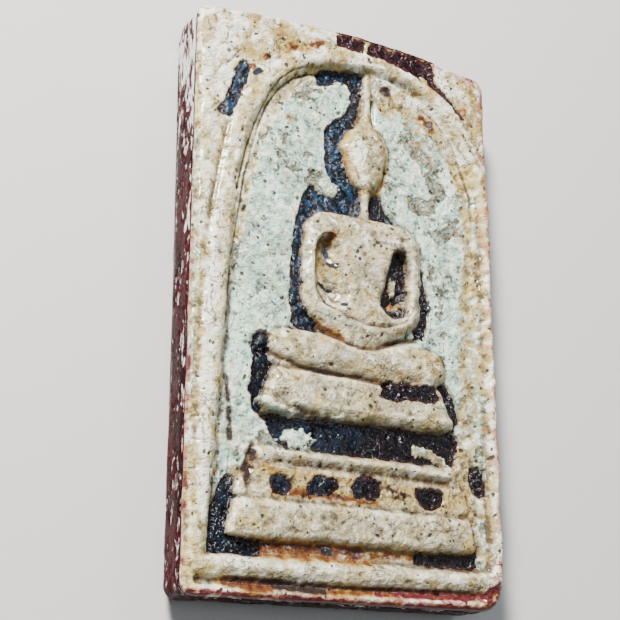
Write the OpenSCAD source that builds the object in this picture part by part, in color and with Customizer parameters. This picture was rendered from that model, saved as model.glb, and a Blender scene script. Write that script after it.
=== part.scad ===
// A pressed lime plaster tablet: a seated figure on a stepped throne under an arch, in low relief.
// Its lacquer is left on the back and the sides, and as thin patches in the flaked hollows of the face.
// The face looks up, the figure's head points along +Y, and the back rests on the plane Z = 0.

/* [Tablet] */
// Width over the lacquered sides
tablet_w = 24.2; // [22.7:0.5:28]
// Length over the lacquered ends, to the top of the swell
tablet_l = 41.3; // [39.8:0.5:46]
// Thickness from the back to the crest of the arch
tablet_t = 4.6; // [3.8:0.1:7]
// Swell of the hand-cut top edge
top_swell = 0.8; // [0.1:0.1:1]
// Radius of the upright corners
corner_r = 0.9; // [0.7:0.1:2]
// Radius that wear adds to the lower right corner
corner_chip = 1.2; // [0:0.1:1.4]
// Rounding of the front and back edges
edge_r = 0.45; // [0.3:0.05:0.6]
// Extra wear of the back edge at the corners
back_wear = 0.9; // [0:0.1:1.2]
// Drop of the frame's face below the crest of the arch
frame_drop = 0.25; // [0.1:0.05:0.4]

/* [Lacquer] */
// Thickness of the red coat on the back and sides
coat_t = 0.2; // [0.15:0.05:0.4]
// Distance from the crest of the arch down to the coat's edge
coat_stop = 0.55; // [0.4:0.05:1.2]
// Thickness of a lacquer patch on the face
film_t = 0.15; // [0.1:0.01:0.2]
// Depth of the flaked hollow that a patch lies in
flake_depth = 0.28; // [0.24:0.02:0.5]
// Clearance round each piece of lacquer
lacquer_gap = 0.03; // [0.02:0.01:0.06]

/* [Arch] */
// Width of the frame left of the field, at the middle of the tablet
frame_left = 3.15; // [2.6:0.05:3.6]
// Width of the frame right of the field, at the middle of the tablet
frame_right = 1.15; // [0.9:0.05:1.8]
// Width of the frame above the field's crown
frame_top = 2.95; // [2.4:0.05:3.6]
// Distance from the tablet's lower end to the base of the field
base_margin = 2.75; // [2.6:0.05:3.2]
// Lean of the cast's centre line, in degrees
cast_lean = 2.2; // [0:0.1:3]
// Depth of the field below the crest of the arch
field_depth = 0.95; // [0.8:0.05:1.3]
// Height of the arch's spring above the base of the field
spring_h = 20.3; // [16:0.5:23]
// Fullness of the arch's shoulders, 2 for an ellipse
arch_fullness = 2.6; // [2.2:0.1:3.2]
// Spread of each leg of the arch from the spring to the base
leg_splay_w = 0.6; // [0:0.1:1]
// Width of the arch's slope outside its crest
ridge_out = 0.85; // [0.6:0.05:1.1]
// Width of the bar across the bottom of the frame
sill_w = 1.4; // [1.1:0.05:1.6]
// Width of the groove below the bottom bar
sill_groove_w = 0.7; // [0.5:0.05:0.8]
// Distance from the top of the tablet to the end of the faint bead down the left frame
bead_stop = 5.0; // [3:0.5:9]
// Width of that bead
bead_w = 1.0; // [0.6:0.1:1.2]
// Rise of that bead
bead_rise = 0.14; // [0.08:0.02:0.2]

/* [Throne] */
// Gap between the base of the field and the plinth
plinth_gap = 1.05; // [0.8:0.05:1.4]
// Gap between the plinth and each foot of the arch
plinth_side_gap = 1.1; // [0.8:0.05:1.6]
// Height of the plinth
plinth_h = 2.6; // [2.2:0.1:2.9]
// Radius of the plinth's edges
plinth_r = 0.5; // [0.4:0.05:0.7]
// Height of the waist step, from the plinth to the top of its ledge
waist_h = 3.35; // [3:0.05:3.6]
// Step back from the plinth's end to the ledge's end
waist_setback_w = 1.65; // [1.2:0.05:2.2]
// Width of the ledge's rounded bar
ledge_w = 1.1; // [0.8:0.05:1.4]
// Height of the hollow between the waist step and the seat
hollow_h = 2.3; // [1.9:0.05:2.6]
// Height of the seat
seat_h = 3.2; // [2.8:0.05:3.5]
// Step back from the ledge's end to the seat's end
seat_setback_w = 0.2; // [0:0.05:0.6]
// Width of the seat's rounded lower lip
seat_lip_w = 1.0; // [0.8:0.05:1.3]

/* [Figure] */
// Height of the folded legs
legs_h = 2.75; // [2.4:0.05:3.1]
// Step back from the seat's end to the knee
knee_setback_w = 0.6; // [0.2:0.05:1]
// Dip of the lap in front of the legs
lap_dip = 0.7; // [0.4:0.05:1]
// Width over the elbows
body_w = 9.6; // [9:0.1:10.4]
// Radius of the shoulders and elbows
shoulder_r = 1.9; // [1.5:0.05:2.2]
// Rise of the elbows above the hands
elbow_rise = 1.5; // [1:0.1:2]
// Width of an upper arm
arm_w = 0.95; // [0.8:0.05:1.2]
// Width of the opening between arm and chest
arm_window_w = 2.3; // [1.8:0.1:2.5]
// Distance from the shoulder down to that opening
arm_window_drop = 2.0; // [1.6:0.1:2.4]
// Distance from the lap up to that opening
arm_window_rise = 2.5; // [2:0.1:3]
// Length of the neck between shoulders and chin
neck_h = 2.0; // [1.6:0.1:2.4]
// Width of the neck
neck_w = 0.85; // [0.7:0.05:1.2]
// Height of the head
head_h = 5.2; // [4.8:0.1:5.6]
// Width of the head
head_w = 4.1; // [3.7:0.1:4.5]
// Height of the flame above the head, to the crown of the arch
flame_h = 4.15; // [3.6:0.05:4.6]
// Width of the flame at its root
flame_w = 1.1; // [0.8:0.05:1.4]

/* [Relief] */
// Rise of the plinth above the field
plinth_rise = 0.75; // [0.6:0.05:0.85]
// Rise of the waist step's ledge above the field
ledge_rise = 0.55; // [0.4:0.05:0.7]
// Rise of the seat above the field
seat_rise = 0.75; // [0.6:0.05:0.85]
// Rise of the folded legs above the field
legs_rise = 0.85; // [0.7:0.05:0.95]
// Rise of the body above the field
body_rise = 0.88; // [0.75:0.05:0.95]
// Rise of the head above the field
head_rise = 0.95; // [0.85:0.05:1.05]
// Rise of the flame above the field
flame_rise = 0.5; // [0.4:0.05:0.6]

/* [Hidden] */

rim_z = tablet_t;
field_z = rim_z - field_depth;
frame_z = rim_z - frame_drop;
ridge_ease = 0.03;
root_z = field_z - flake_depth - 0.3;
plaster_inset = coat_t + lacquer_gap;
base_y = -tablet_l / 2 + base_margin;
field_w = tablet_w - frame_left - frame_right;
field_h = tablet_l - base_margin - frame_top;
field_half = field_w / 2;
cast_x = (frame_left - frame_right) / 2;
crown_h = field_h - spring_h;

// Heights above the base of the field, each step standing on the one below it
plinth_y = plinth_gap;
waist_y = plinth_y + plinth_h;
hollow_y = waist_y + waist_h;
seat_y = hollow_y + hollow_h;
legs_y = seat_y + seat_h;
lap_y = legs_y + legs_h - lap_dip;
head_top_y = field_h - flame_h;
chin_y = head_top_y - head_h;
shoulder_y = chin_y - neck_h;
LEVELS = [
  [-1, -sill_w], [0, 0], [1, plinth_y], [2, waist_y], [3, hollow_y], [4, seat_y], [5, legs_y], [6, lap_y],
  [7, shoulder_y], [8, chin_y], [9, head_top_y], [10, field_h], [11, field_h + frame_top]
];

// Widths, each step set back from the one below it
plinth_w = field_w + 2 * leg_splay_w - 2 * plinth_side_gap;
waist_w = plinth_w - 2 * waist_setback_w;
seat_w = waist_w - 2 * seat_setback_w;
legs_w = seat_w - 2 * knee_setback_w;

// Width of the arch's slope inside its crest, against the share of the way from left base to right base
RIDGE_IN = [[0, 1.2], [0.25, 1.25], [0.42, 1.0], [0.52, 0.75], [1, 0.7]];
COLUMN_STEPS = 5;
CURVE_STEPS = 28;

// A point of the cast: x from its leaning centre line, and height above its base
function cast_at(x, h) = [cast_x + tan(cast_lean) * (base_y + h) + x, base_y + h];
function unit(v) = v / norm(v);
function power(x, e) = sign(x) * pow(abs(x), e);

// The foot of the arch, from the base of its left leg over the crown to the base of its right leg
function leg_foot(side, k) =
  let (h = -sill_w / 2 + (spring_h + sill_w / 2) * k / COLUMN_STEPS)
  cast_at(side * (field_half + leg_splay_w * (1 - h / spring_h)), h);
function curve_foot(k) =
  let (t = 180 * k / CURVE_STEPS, e = 2 / arch_fullness)
  cast_at(-field_half * power(cos(t), e), spring_h + crown_h * power(sin(t), e));
arch_foot = concat(
  [for (k = [0 : COLUMN_STEPS - 1]) leg_foot(-1, k)],
  [for (k = [0 : CURVE_STEPS]) curve_foot(k)],
  [for (k = [COLUMN_STEPS - 1 : -1 : 0]) leg_foot(1, k)]
);
last = len(arch_foot) - 1;
function foot_normal(i) =
  let (d = unit(arch_foot[min(i + 1, last)] - arch_foot[max(i - 1, 0)])) [-d.y, d.x];
function slope_in(i) = lookup(i / last, RIDGE_IN);

// The tablet's outline, taken in all round by an inset, and its corners by a wear
function corner(x, y, r, from) = [
  for (k = [0 : 6]) let (a = from + 15 * k) [x + r * cos(a), y + r * sin(a)]
];
function outline(inset, wear) =
  let (
    r = corner_r - inset, x = tablet_w / 2 - corner_r - wear, y = tablet_l / 2 - corner_r,
    top_x = x + 0.7 * wear, swell = top_swell + wear, low = wear - y
  )
  concat(
    corner(top_x, y - swell, r, 0),
    [for (k = [-5 : 5]) let (s = -k / 6) [s * top_x, y + r - swell * s * s]],
    corner(-top_x, y - swell, r, 90),
    corner(-x, low, r, 180),
    corner(x - corner_chip, low + corner_chip, r + corner_chip, 270)
  );

// Height, inset and wear of each outline that a block is lofted through, its back edge rounded off
function back_rings(inset, low, high) = [
  [low, inset + edge_r, back_wear], [low + 0.3 * edge_r, inset + 0.3 * edge_r, 0.8 * back_wear],
  [low + edge_r, inset, 0.5 * back_wear], [low + edge_r + 1.2 * back_wear, inset, 0], [high, inset, 0]
];
function front_rings(inset, high) = [
  [high - edge_r, inset, 0], [high - 0.3 * edge_r, inset + 0.3 * edge_r, 0], [high, inset + edge_r, 0]
];

module loft(rings) {
  n = len(outline(0, 0));
  end = (len(rings) - 1) * n;
  polyhedron(
    points = [for (r = rings, p = outline(r[1], r[2])) [p.x, p.y, r[0]]],
    faces = concat(
      [[for (k = [0 : n - 1]) k]],
      [for (i = [0 : len(rings) - 2], k = [0 : n - 1])
        let (a = i * n + k, b = i * n + (k + 1) % n) each [[a, a + n, b + n], [a, b + n, b]]],
      [[for (k = [n - 1 : -1 : 0]) end + k]]
    ),
    convexity = 4
  );
}

module plaster_block() {
  high = rim_z - edge_r;
  rings = back_rings(plaster_inset, plaster_inset, high - 0.1);
  loft(concat(rings, front_rings(plaster_inset, rim_z + 0.05)));
}

// The arch: a rounded ridge that follows its foot, steeper on the right where the tablet was cut close
module arch_ridge(grow) {
  function ring(i) =
    let (
      p = arch_foot[i], n = foot_normal(i), s = slope_in(i), d = field_depth,
      section = [
        [-grow, root_z], [-grow, field_z], [0.2 * s - grow, field_z + 0.5 * d + grow],
        [0.55 * s, field_z + 0.86 * d + grow], [s, rim_z - ridge_ease + grow],
        [s + 0.55 * ridge_out, field_z + 0.92 * d + grow],
        [s + ridge_out + grow, frame_z - 0.1], [s + ridge_out + grow, root_z]
      ]
    )
    [for (q = section) [p.x + n.x * q[0], p.y + n.y * q[0], q[1]]];
  sides = 8;
  polyhedron(
    points = [for (i = [0 : last]) each ring(i)],
    faces = concat(
      [[for (k = [sides - 1 : -1 : 0]) k]],
      [for (i = [0 : last - 1], k = [0 : sides - 1])
        let (a = i * sides + k, b = i * sides + (k + 1) % sides) [a, b, b + sides, a + sides]],
      [[for (k = [0 : sides - 1]) last * sides + k]]
    ),
    convexity = 6
  );
}

module field_pocket() {
  translate([0, 0, field_z]) linear_extrude(field_depth + 1)
    polygon([for (i = [0 : last]) arch_foot[i] + 0.8 * slope_in(i) * foot_normal(i)]);
}

// A pebble: the rounded form that the soft relief is pressed from, standing on an upright root
module pebble_at(p, rx, ry, rise, grow) {
  translate([p.x, p.y, field_z]) scale([rx + grow, ry + grow, rise + grow]) sphere(1, $fn = 24);
  translate([p.x, p.y, root_z]) scale([rx + grow, ry + grow, 1])
    cylinder(r = 1, h = field_z - root_z, $fn = 24);
}

module pebble(x, y, rx, ry, rise, grow) pebble_at(cast_at(x, y), rx, ry, rise, grow);

module sill(grow) {
  r = sill_w / 2;
  reach = tablet_w / 2 - plaster_inset - r;
  hull() for (side = [-1, 1])
    pebble_at([side * reach, base_y - r], r, r, field_depth, grow);
}

module sill_groove() {
  r = sill_groove_w / 2;
  reach = tablet_w / 2 - plaster_inset - edge_r - r;
  hull() for (x = [-reach, reach - 1])
    translate([x, base_y - sill_w - r, frame_z]) scale([r, r, 0.4]) sphere(1, $fn = 16);
}

module border_bead() {
  x = tablet_w / 2 - plaster_inset - 0.6 * bead_w;
  hull() for (y = [base_y, tablet_l / 2 - bead_stop])
    translate([-x, y, frame_z]) scale([bead_w / 2, bead_w, bead_rise]) sphere(1, $fn = 16);
}

module plinth(grow) {
  r = plinth_r;
  hull() for (side = [-1, 1]) {
    pebble(side * (plinth_w / 2 - r), plinth_y + r, r, r, plinth_rise, grow);
    pebble(side * (plinth_w / 2 - 1.7 * r), waist_y - r, r, r, plinth_rise, grow);
  }
}

module waist(grow) {
  r = ledge_w / 2;
  hull() for (side = [-1, 1]) pebble(side * (waist_w / 2 - r), hollow_y - r, r, r, ledge_rise, grow);
  hull() for (side = [-1, 1]) {
    pebble(side * (waist_w / 2 - 1.45 * r), hollow_y - 2.2 * r, 1.45 * r, 1.1 * r, 0.6 * ledge_rise, grow);
    pebble(side * (waist_w / 2 - 0.2 * r), waist_y, 1.45 * r, 1.1 * r, 0.6 * ledge_rise, grow);
  }
  for (side = [-1, 1]) hull() {
    pebble(side * (waist_w / 2 - 0.55 * r), hollow_y - r, 0.9 * r, r, 0.8 * ledge_rise, grow);
    pebble(side * (waist_w / 2 + 1.3 * r), waist_y + 0.9 * r, 1.1 * r, 0.9 * r, 0.8 * ledge_rise, grow);
  }
}

module seat(grow) {
  lip_r = seat_lip_w / 2;
  r = 1.6 * lip_r;
  hull() for (side = [-1, 1]) {
    pebble(side * (seat_w / 2 - 1.1 * r), seat_y + r, r, r, seat_rise, grow);
    pebble(side * (seat_w / 2 - 2 * r), legs_y - 0.75 * r, r, 0.75 * r, 0.85 * seat_rise, grow);
  }
  hull() for (side = [-1, 1])
    pebble(side * (seat_w / 2 - lip_r), seat_y + 1.5 * lip_r, lip_r, lip_r, 1.1 * seat_rise, grow);
}

module legs(grow) {
  r = legs_h / 2;
  hull() for (side = [-1, 1]) pebble(side * (legs_w / 2 - r), legs_y + r, r, r, legs_rise, grow);
}

module body(grow) {
  r = shoulder_r;
  hull() {
    for (side = [-1, 1]) {
      pebble(side * (body_w / 2 - r), shoulder_y - r, r, r, body_rise, grow);
      pebble(side * (body_w / 2 - r), lap_y + elbow_rise + r, r, r, body_rise, grow);
    }
    pebble(0, lap_y + 1.37 * r, 1.68 * r, 1.37 * r, body_rise, grow);
  }
}

// The shallow opening between an arm and the chest, a lens that leans outwards at the top
module arm_window(side, floor_z, inset) {
  low_r = arm_window_w / 2;
  top_r = 0.7 * low_r;
  outer = body_w / 2 - arm_w;
  low = cast_at(side * (outer - 1.05 * low_r), lap_y + arm_window_rise + low_r);
  top = cast_at(side * (outer - top_r), shoulder_y - arm_window_drop - top_r);
  hull() {
    translate([low.x, low.y, floor_z]) cylinder(r = low_r - inset, h = tablet_t, $fn = 24);
    translate([top.x, top.y, floor_z]) cylinder(r = top_r - inset, h = tablet_t, $fn = 24);
  }
}

module neck(grow) {
  hull() {
    pebble(0, shoulder_y - 0.35 * neck_w, 0.5 * neck_w, 0.6 * neck_w, 0.6 * neck_w, grow);
    pebble(0, chin_y + 0.5 * neck_w, 0.6 * neck_w, 0.6 * neck_w, 0.6 * neck_w, grow);
  }
}

// A plain egg, wide at the crown and narrow at the chin
module head(grow) {
  crown_r = head_w / 2;
  chin_r = 0.3 * head_w;
  hull() {
    pebble(0, head_top_y - crown_r, crown_r, crown_r, head_rise, grow);
    pebble(0, chin_y + chin_r, chin_r, chin_r, 0.8 * head_rise, grow);
  }
}

module flame(grow) {
  hull() {
    pebble(0, head_top_y - 0.35 * flame_w, 0.9 * flame_w, 0.65 * flame_w, flame_rise, grow);
    pebble(0, head_top_y + 0.65 * flame_w, 0.5 * flame_w, 0.65 * flame_w, flame_rise, grow);
  }
  hull() {
    pebble(0, head_top_y + 0.45 * flame_w, 0.5 * flame_w, 0.65 * flame_w, flame_rise, grow);
    pebble(0, field_h, 0.25 * flame_w, 0.55 * flame_w, 0.9 * flame_rise, grow);
  }
}

module relief(grow = 0) {
  arch_ridge(grow);
  sill(grow);
  plinth(grow);
  waist(grow);
  seat(grow);
  legs(grow);
  body(grow);
  neck(grow);
  head(grow);
  flame(grow);
}

// Outlines of the lacquer in the field: each point's share of the half width that the patch follows,
// and its level, where a whole number is the height of a step in LEVELS
HALO = [
  [-0.83, 10.24], [0.06, 10.36], [0.04, 9.06], [-0.17, 8.57], [0.04, 7.87], [0, 6.92], [-0.41, 6.78],
  [-0.75, 6.56], [-0.75, 6.34], [-0.70, 6.08], [-1.08, 6.10], [-1.08, 6.21], [-1.14, 6.32], [-1.12, 6.63],
  [-1.08, 6.89], [-1.02, 7.07], [-0.95, 7.60], [-0.87, 7.87], [-0.68, 7.60], [-0.46, 7.51], [-0.37, 8.02],
  [-0.56, 8.12], [-0.64, 8.26], [-0.64, 8.57], [-0.68, 8.77], [-0.52, 8.98], [-0.31, 9.19], [-0.23, 9.40],
  [-0.23, 9.66], [-0.29, 9.79], [-0.52, 9.83], [-0.68, 9.66], [-0.85, 9.61]
];
NECK = [[0.10, 6.92], [0.68, 6.92], [0.58, 7.25], [0.41, 7.51], [0.37, 8.02], [0.17, 8.02], [0.10, 7.34]];
ELBOW = [[0.79, 6.11], [1.16, 6.13], [1.24, 6.34], [1.20, 6.52], [1.10, 6.70], [0.87, 6.70]];
THRONE = [
  [-0.79, 6.02], [-0.97, 5.85], [-1.05, 5.33], [-1.06, 4.10], [-0.98, 3.86], [-0.89, 3.59], [-0.82, 3.21],
  [-0.68, 2.93], [0.98, 2.88], [1.06, 3.28], [1.10, 3.83], [1.02, 4.08], [-0.65, 4.54], [-0.72, 5.85]
];
KNEE = [[0.81, 4.93], [0.94, 5.15], [1.01, 4.88], [1.07, 4.39], [1.05, 4.25], [0.81, 4.54]];
FOOT = [
  [-1.01, 2.35], [-0.84, 2.19], [-0.91, 1.42], [-0.74, 1.21], [-0.74, -0.26], [-1.11, -0.51], [-1.12, 1.28]
];
SILL = [[0.47, 1.21], [1.04, 1.21], [1.04, -0.26], [0.51, -0.26]];
LEG = [[0.93, 3.05], [1.08, 3.21], [1.08, 2.45], [1.0, 2.45], [0.93, 2.66]];

// Outlines of the lacquer on the raised work, in the same terms
SEAT = [[0.21, 4.99], [0.81, 5.07], [0.86, 4.77], [0.76, 4.60], [0.52, 4.63], [0.39, 4.52], [0.21, 4.57]];
SPOTS = [
  [[-0.82, 2.40], [-0.70, 2.45], [-0.63, 2.24], [-0.68, 2.13], [-0.79, 2.16]],
  [[-0.47, 2.35], [-0.36, 2.50], [-0.22, 2.48], [-0.19, 2.35], [-0.31, 2.19], [-0.46, 2.19]],
  [[-0.04, 2.40], [0.06, 2.59], [0.19, 2.56], [0.22, 2.40], [0.18, 2.21], [-0.01, 2.21]],
  [[0.57, 2.40], [0.69, 2.45], [0.87, 2.48], [0.84, 2.19], [0.70, 2.11], [0.64, 2.24]]
];
SPANDREL = [
  [-1.04, 9.63], [-0.98, 9.57], [-0.99, 9.23], [-1.05, 9.01], [-1.09, 8.67], [-1.12, 8.61], [-1.20, 8.67],
  [-1.15, 8.81], [-1.10, 9.14], [-1.08, 9.40]
];
CROWN = [
  [-0.29, 10.97], [-0.29, 10.51], [-0.04, 10.54], [0.15, 10.48], [0.30, 10.39], [0.46, 10.19],
  [0.56, 10.06], [0.72, 9.79], [0.83, 9.53], [0.86, 9.59], [0.75, 9.86], [0.59, 10.27], [0.57, 10.97]
];
seat_patch_z = field_z + 0.5 * seat_rise;
spot_z = field_z - 0.05;
frame_patch_z = frame_z - flake_depth;

module patch(points, width, floor_z, height, inset) {
  translate([0, 0, floor_z + inset]) linear_extrude(height) offset(delta = -inset)
    polygon([for (p = points) cast_at(p[0] * width / 2, lookup(p[1], LEVELS))]);
}

module hollow(points, width, floor_z) patch(points, width, floor_z, tablet_t, 0);

module field_hollow(points, width) hollow(points, width, field_z - flake_depth);

module field_film(points, width) {
  difference() {
    patch(points, width, field_z - flake_depth, film_t, lacquer_gap);
    relief(lacquer_gap);
  }
}

module raised_film(points, width, floor_z) patch(points, width, floor_z, film_t, lacquer_gap);

module plaster_tablet() {
  color("wheat") intersection() {
    plaster_block();
    difference() {
      union() {
        difference() {
          translate([0, 0, frame_z / 2]) cube([tablet_w, tablet_l, frame_z], center = true);
          field_pocket();
          for (points = [HALO, NECK, ELBOW]) field_hollow(points, body_w);
          for (points = [THRONE, KNEE]) field_hollow(points, seat_w);
          for (points = [FOOT, SILL]) field_hollow(points, plinth_w);
          field_hollow(LEG, field_w);
        }
        relief();
        border_bead();
      }
      sill_groove();
      arm_window(-1, field_z, 0);
      arm_window(1, field_z - flake_depth, 0);
      hollow(SEAT, seat_w, seat_patch_z);
      for (points = SPOTS) hollow(points, waist_w, spot_z);
      hollow(SPANDREL, field_w, frame_patch_z);
      hollow(CROWN, field_w, frame_patch_z);
    }
  }
}

module red_lacquer_coat() {
  color("maroon") difference() {
    loft(back_rings(0, 0, rim_z - coat_stop));
    loft(back_rings(coat_t, coat_t, rim_z));
  }
}

module red_lacquer_crown() {
  color("maroon") intersection() {
    raised_film(CROWN, field_w, frame_patch_z);
    plaster_block();
  }
}
module black_lacquer_halo() color("midnightblue") field_film(HALO, body_w);
module black_lacquer_neck() color("midnightblue") field_film(NECK, body_w);
module black_lacquer_elbow() color("midnightblue") field_film(ELBOW, body_w);
module black_lacquer_throne() color("midnightblue") field_film(THRONE, seat_w);
module black_lacquer_knee() color("midnightblue") field_film(KNEE, seat_w);
module black_lacquer_foot() color("midnightblue") field_film(FOOT, plinth_w);
module black_lacquer_sill() color("midnightblue") field_film(SILL, plinth_w);
module black_lacquer_leg() color("midnightblue") field_film(LEG, field_w);
module black_lacquer_seat() color("midnightblue") raised_film(SEAT, seat_w, seat_patch_z);
module black_lacquer_spandrel() color("midnightblue") raised_film(SPANDREL, field_w, frame_patch_z);
module black_lacquer_spot(k) color("midnightblue") raised_film(SPOTS[k], waist_w, spot_z);

module black_lacquer_arm() {
  color("midnightblue") intersection() {
    arm_window(1, field_z - flake_depth + lacquer_gap, lacquer_gap);
    translate([0, 0, field_z - flake_depth + film_t / 2 + lacquer_gap])
      cube([tablet_w, tablet_l, film_t], center = true);
  }
}

plaster_tablet();
red_lacquer_coat();
red_lacquer_crown();
black_lacquer_halo();
black_lacquer_neck();
black_lacquer_elbow();
black_lacquer_arm();
black_lacquer_throne();
black_lacquer_knee();
black_lacquer_seat();
black_lacquer_foot();
black_lacquer_sill();
black_lacquer_spandrel();
black_lacquer_leg();
black_lacquer_spot(0);  // black_lacquer_spot_1
black_lacquer_spot(1);  // black_lacquer_spot_2
black_lacquer_spot(2);  // black_lacquer_spot_3
black_lacquer_spot(3);  // black_lacquer_spot_4
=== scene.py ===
"""A small pressed plaster tablet, worn and stained, with old lacquer on its sides and in its hollows."""
import math

import bpy
import numpy as np
from mathutils import Matrix, Vector
from mathutils.bvhtree import BVHTree


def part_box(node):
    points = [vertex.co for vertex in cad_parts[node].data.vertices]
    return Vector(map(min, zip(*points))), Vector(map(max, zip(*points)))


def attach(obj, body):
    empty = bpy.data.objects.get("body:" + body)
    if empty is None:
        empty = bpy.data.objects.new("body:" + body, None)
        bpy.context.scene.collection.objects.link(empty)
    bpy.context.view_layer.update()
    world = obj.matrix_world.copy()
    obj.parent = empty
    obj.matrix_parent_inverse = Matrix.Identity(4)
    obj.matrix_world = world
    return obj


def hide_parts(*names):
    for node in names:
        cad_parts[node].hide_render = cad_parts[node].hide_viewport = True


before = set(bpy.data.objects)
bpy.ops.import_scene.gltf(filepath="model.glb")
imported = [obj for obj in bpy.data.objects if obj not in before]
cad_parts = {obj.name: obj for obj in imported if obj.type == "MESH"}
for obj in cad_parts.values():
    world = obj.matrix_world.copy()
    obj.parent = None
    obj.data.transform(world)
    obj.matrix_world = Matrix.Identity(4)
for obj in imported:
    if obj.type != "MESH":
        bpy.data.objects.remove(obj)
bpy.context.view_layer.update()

MM = 0.001

# Sizes of the tablet, in millimetres
HALF_W = 12.1
HALF_L = 20.65
CORNER_R = 0.9
CORNER_CHIP = 1.2
TOP_SWELL = 0.8
EDGE_R = 0.45
BACK_WEAR = 0.9
COAT_T = 0.2
PLASTER_INSET = 0.23
FIELD_Z = 3.65
FRAME_Z = 4.35
COAT_TOP = 4.0
FLAKE_DEPTH = 0.28
LACQUER_T = 0.13

# Further sizes of the dressed meshes: how far a patch of lacquer runs on under the crust, the height
# of the plaster's back, the height above which the face is eased, and where the coat's ragged lip starts
UNDER_CRUST = 0.2
PLASTER_BACK = 0.235
TOP_LIMIT = 4.52
TOP_EASE = 0.065
LIP_START = 3.3
LIP_RUN = 0.62

# The cast's leaning centre line
CAST_X = 1.0
CAST_LEAN = math.tan(math.radians(2.2))


def cast_point(x, y):
    """A place given from the cast's centre line, on the tablet."""
    return CAST_X + CAST_LEAN * y + x, y


# Noise and rasters

PITCH = 0.07
REACH_X = 12.6
REACH_Y = 21.3
GX, GY = np.meshgrid(np.arange(-REACH_X, REACH_X + 0.01, PITCH), np.arange(-REACH_Y, REACH_Y + 0.01, PITCH))

# A distance and a height beyond anything on the tablet, and how steeply spots and strokes fade
FAR = 99.0
RAY_TOP = 20.0
FALLOFF = 1.4

# The factor that lays the logistic curve on the normal one
NORMAL_TO_LOGISTIC = 1.702


def ripple(x, y, size, seed, octaves=1, gain=0.5):
    """Gradient noise from about -1 to 1, with lumps of the given size in millimetres.

    Each octave is turned and moved, so that its cells don't line up with those of the last.
    """
    turns = np.random.default_rng(seed).uniform(0, 2 * np.pi, (64, 64))
    total = np.zeros(np.shape(x))
    weight = 1.0
    for k in range(octaves):
        lean = 0.6 + 1.1 * k
        u = (x * math.cos(lean) - y * math.sin(lean)) / size + 9.7 * k
        v = (x * math.sin(lean) + y * math.cos(lean)) / size - 4.3 * k
        i = np.floor(u).astype(int)
        j = np.floor(v).astype(int)
        fu = u - i
        fv = v - j
        su = fu * fu * fu * (fu * (fu * 6 - 15) + 10)
        sv = fv * fv * fv * (fv * (fv * 6 - 15) + 10)
        corner = {}
        for di in (0, 1):
            for dj in (0, 1):
                turn = turns[(j + dj) & 63, (i + di) & 63]
                corner[di, dj] = np.cos(turn) * (fu - di) + np.sin(turn) * (fv - dj)
        low = corner[0, 0] + su * (corner[1, 0] - corner[0, 0])
        high = corner[0, 1] + su * (corner[1, 1] - corner[0, 1])
        total = total + weight * 1.5 * (low + sv * (high - low))
        weight *= gain
        size *= 0.5
    return total


def noise(size, seed, octaves=1, gain=0.5):
    """The same noise over the whole face."""
    return ripple(GX, GY, size, seed, octaves, gain)


def ramp(value, low, high):
    """0 below low, 1 above high, smooth between."""
    t = np.clip((value - low) / (high - low), 0, 1)
    return t * t * (3 - 2 * t)


def blur(field, sigma):
    """A Gaussian blur of a raster, sigma in millimetres."""
    reach = int(3 * sigma / PITCH) + 1
    steps = np.arange(-reach, reach + 1) * PITCH
    kernel = np.exp(-0.5 * (steps / sigma) ** 2)
    kernel /= kernel.sum()
    for axis in (0, 1):
        pad = [(0, 0), (0, 0)]
        pad[axis] = (reach, reach)
        wide = np.pad(field, pad, mode="edge")
        size = field.shape[axis]
        field = sum(k * np.take(wide, range(n, n + size), axis=axis) for n, k in enumerate(kernel))
    return field


def read_raster(field, x, y):
    """A raster's values at any places, between its points."""
    u = np.clip((x - GX[0, 0]) / PITCH, 0, GX.shape[1] - 1.001)
    v = np.clip((y - GY[0, 0]) / PITCH, 0, GX.shape[0] - 1.001)
    i = u.astype(int)
    j = v.astype(int)
    fu = u - i
    fv = v - j
    low = field[j, i] * (1 - fu) + field[j, i + 1] * fu
    high = field[j + 1, i] * (1 - fu) + field[j + 1, i + 1] * fu
    return low * (1 - fv) + high * fv


def heights(node, x, y, window=None):
    """The height of a node's top above each place, in millimetres, and nan where it has none."""
    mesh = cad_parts[node].data
    tree = BVHTree.FromPolygons([v.co / MM for v in mesh.vertices], [p.vertices for p in mesh.polygons])
    out = np.full(x.shape, np.nan)
    places = np.ndindex(x.shape) if window is None else zip(*np.nonzero(window))
    for place in places:
        hit = tree.ray_cast((x[place], y[place], RAY_TOP), (0.0, 0.0, -1.0))[0]
        if hit is not None:
            out[place] = hit.z
    return out


def fill_in(field, mask, rounds=160):
    """Gives the masked part of a raster the smooth surface that its surroundings call for."""
    rows, columns = np.nonzero(mask)
    window = (slice(rows.min() - 2, rows.max() + 3), slice(columns.min() - 2, columns.max() + 3))
    part = field[window].copy()
    inside = mask[window]
    part[inside] = np.mean(part[~inside])
    for _ in range(rounds):
        mean = 0.25 * (
            np.roll(part, 1, 0) + np.roll(part, -1, 0) + np.roll(part, 1, 1) + np.roll(part, -1, 1)
        )
        part[inside] = mean[inside]
    field[window] = part


def distance_in(mask, sigma=0.22):
    """About how far inside a mask's edge each point lies, in millimetres, with the corners rounded off."""
    share = np.clip(blur(mask.astype(float), sigma), 0.002, 0.998)
    return sigma * np.log(share / (1 - share)) / NORMAL_TO_LOGISTIC


def spot(x, y, reach, stretch=1.0, turn=0.0):
    """A soft round or long spot on the face: 1 at its middle, 0 from about its reach on."""
    c = math.cos(math.radians(turn))
    s = math.sin(math.radians(turn))
    u = ((GX - x) * c + (GY - y) * s) / (reach * stretch)
    v = (-(GX - x) * s + (GY - y) * c) / reach
    return np.exp(-FALLOFF * (u * u + v * v))


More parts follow.
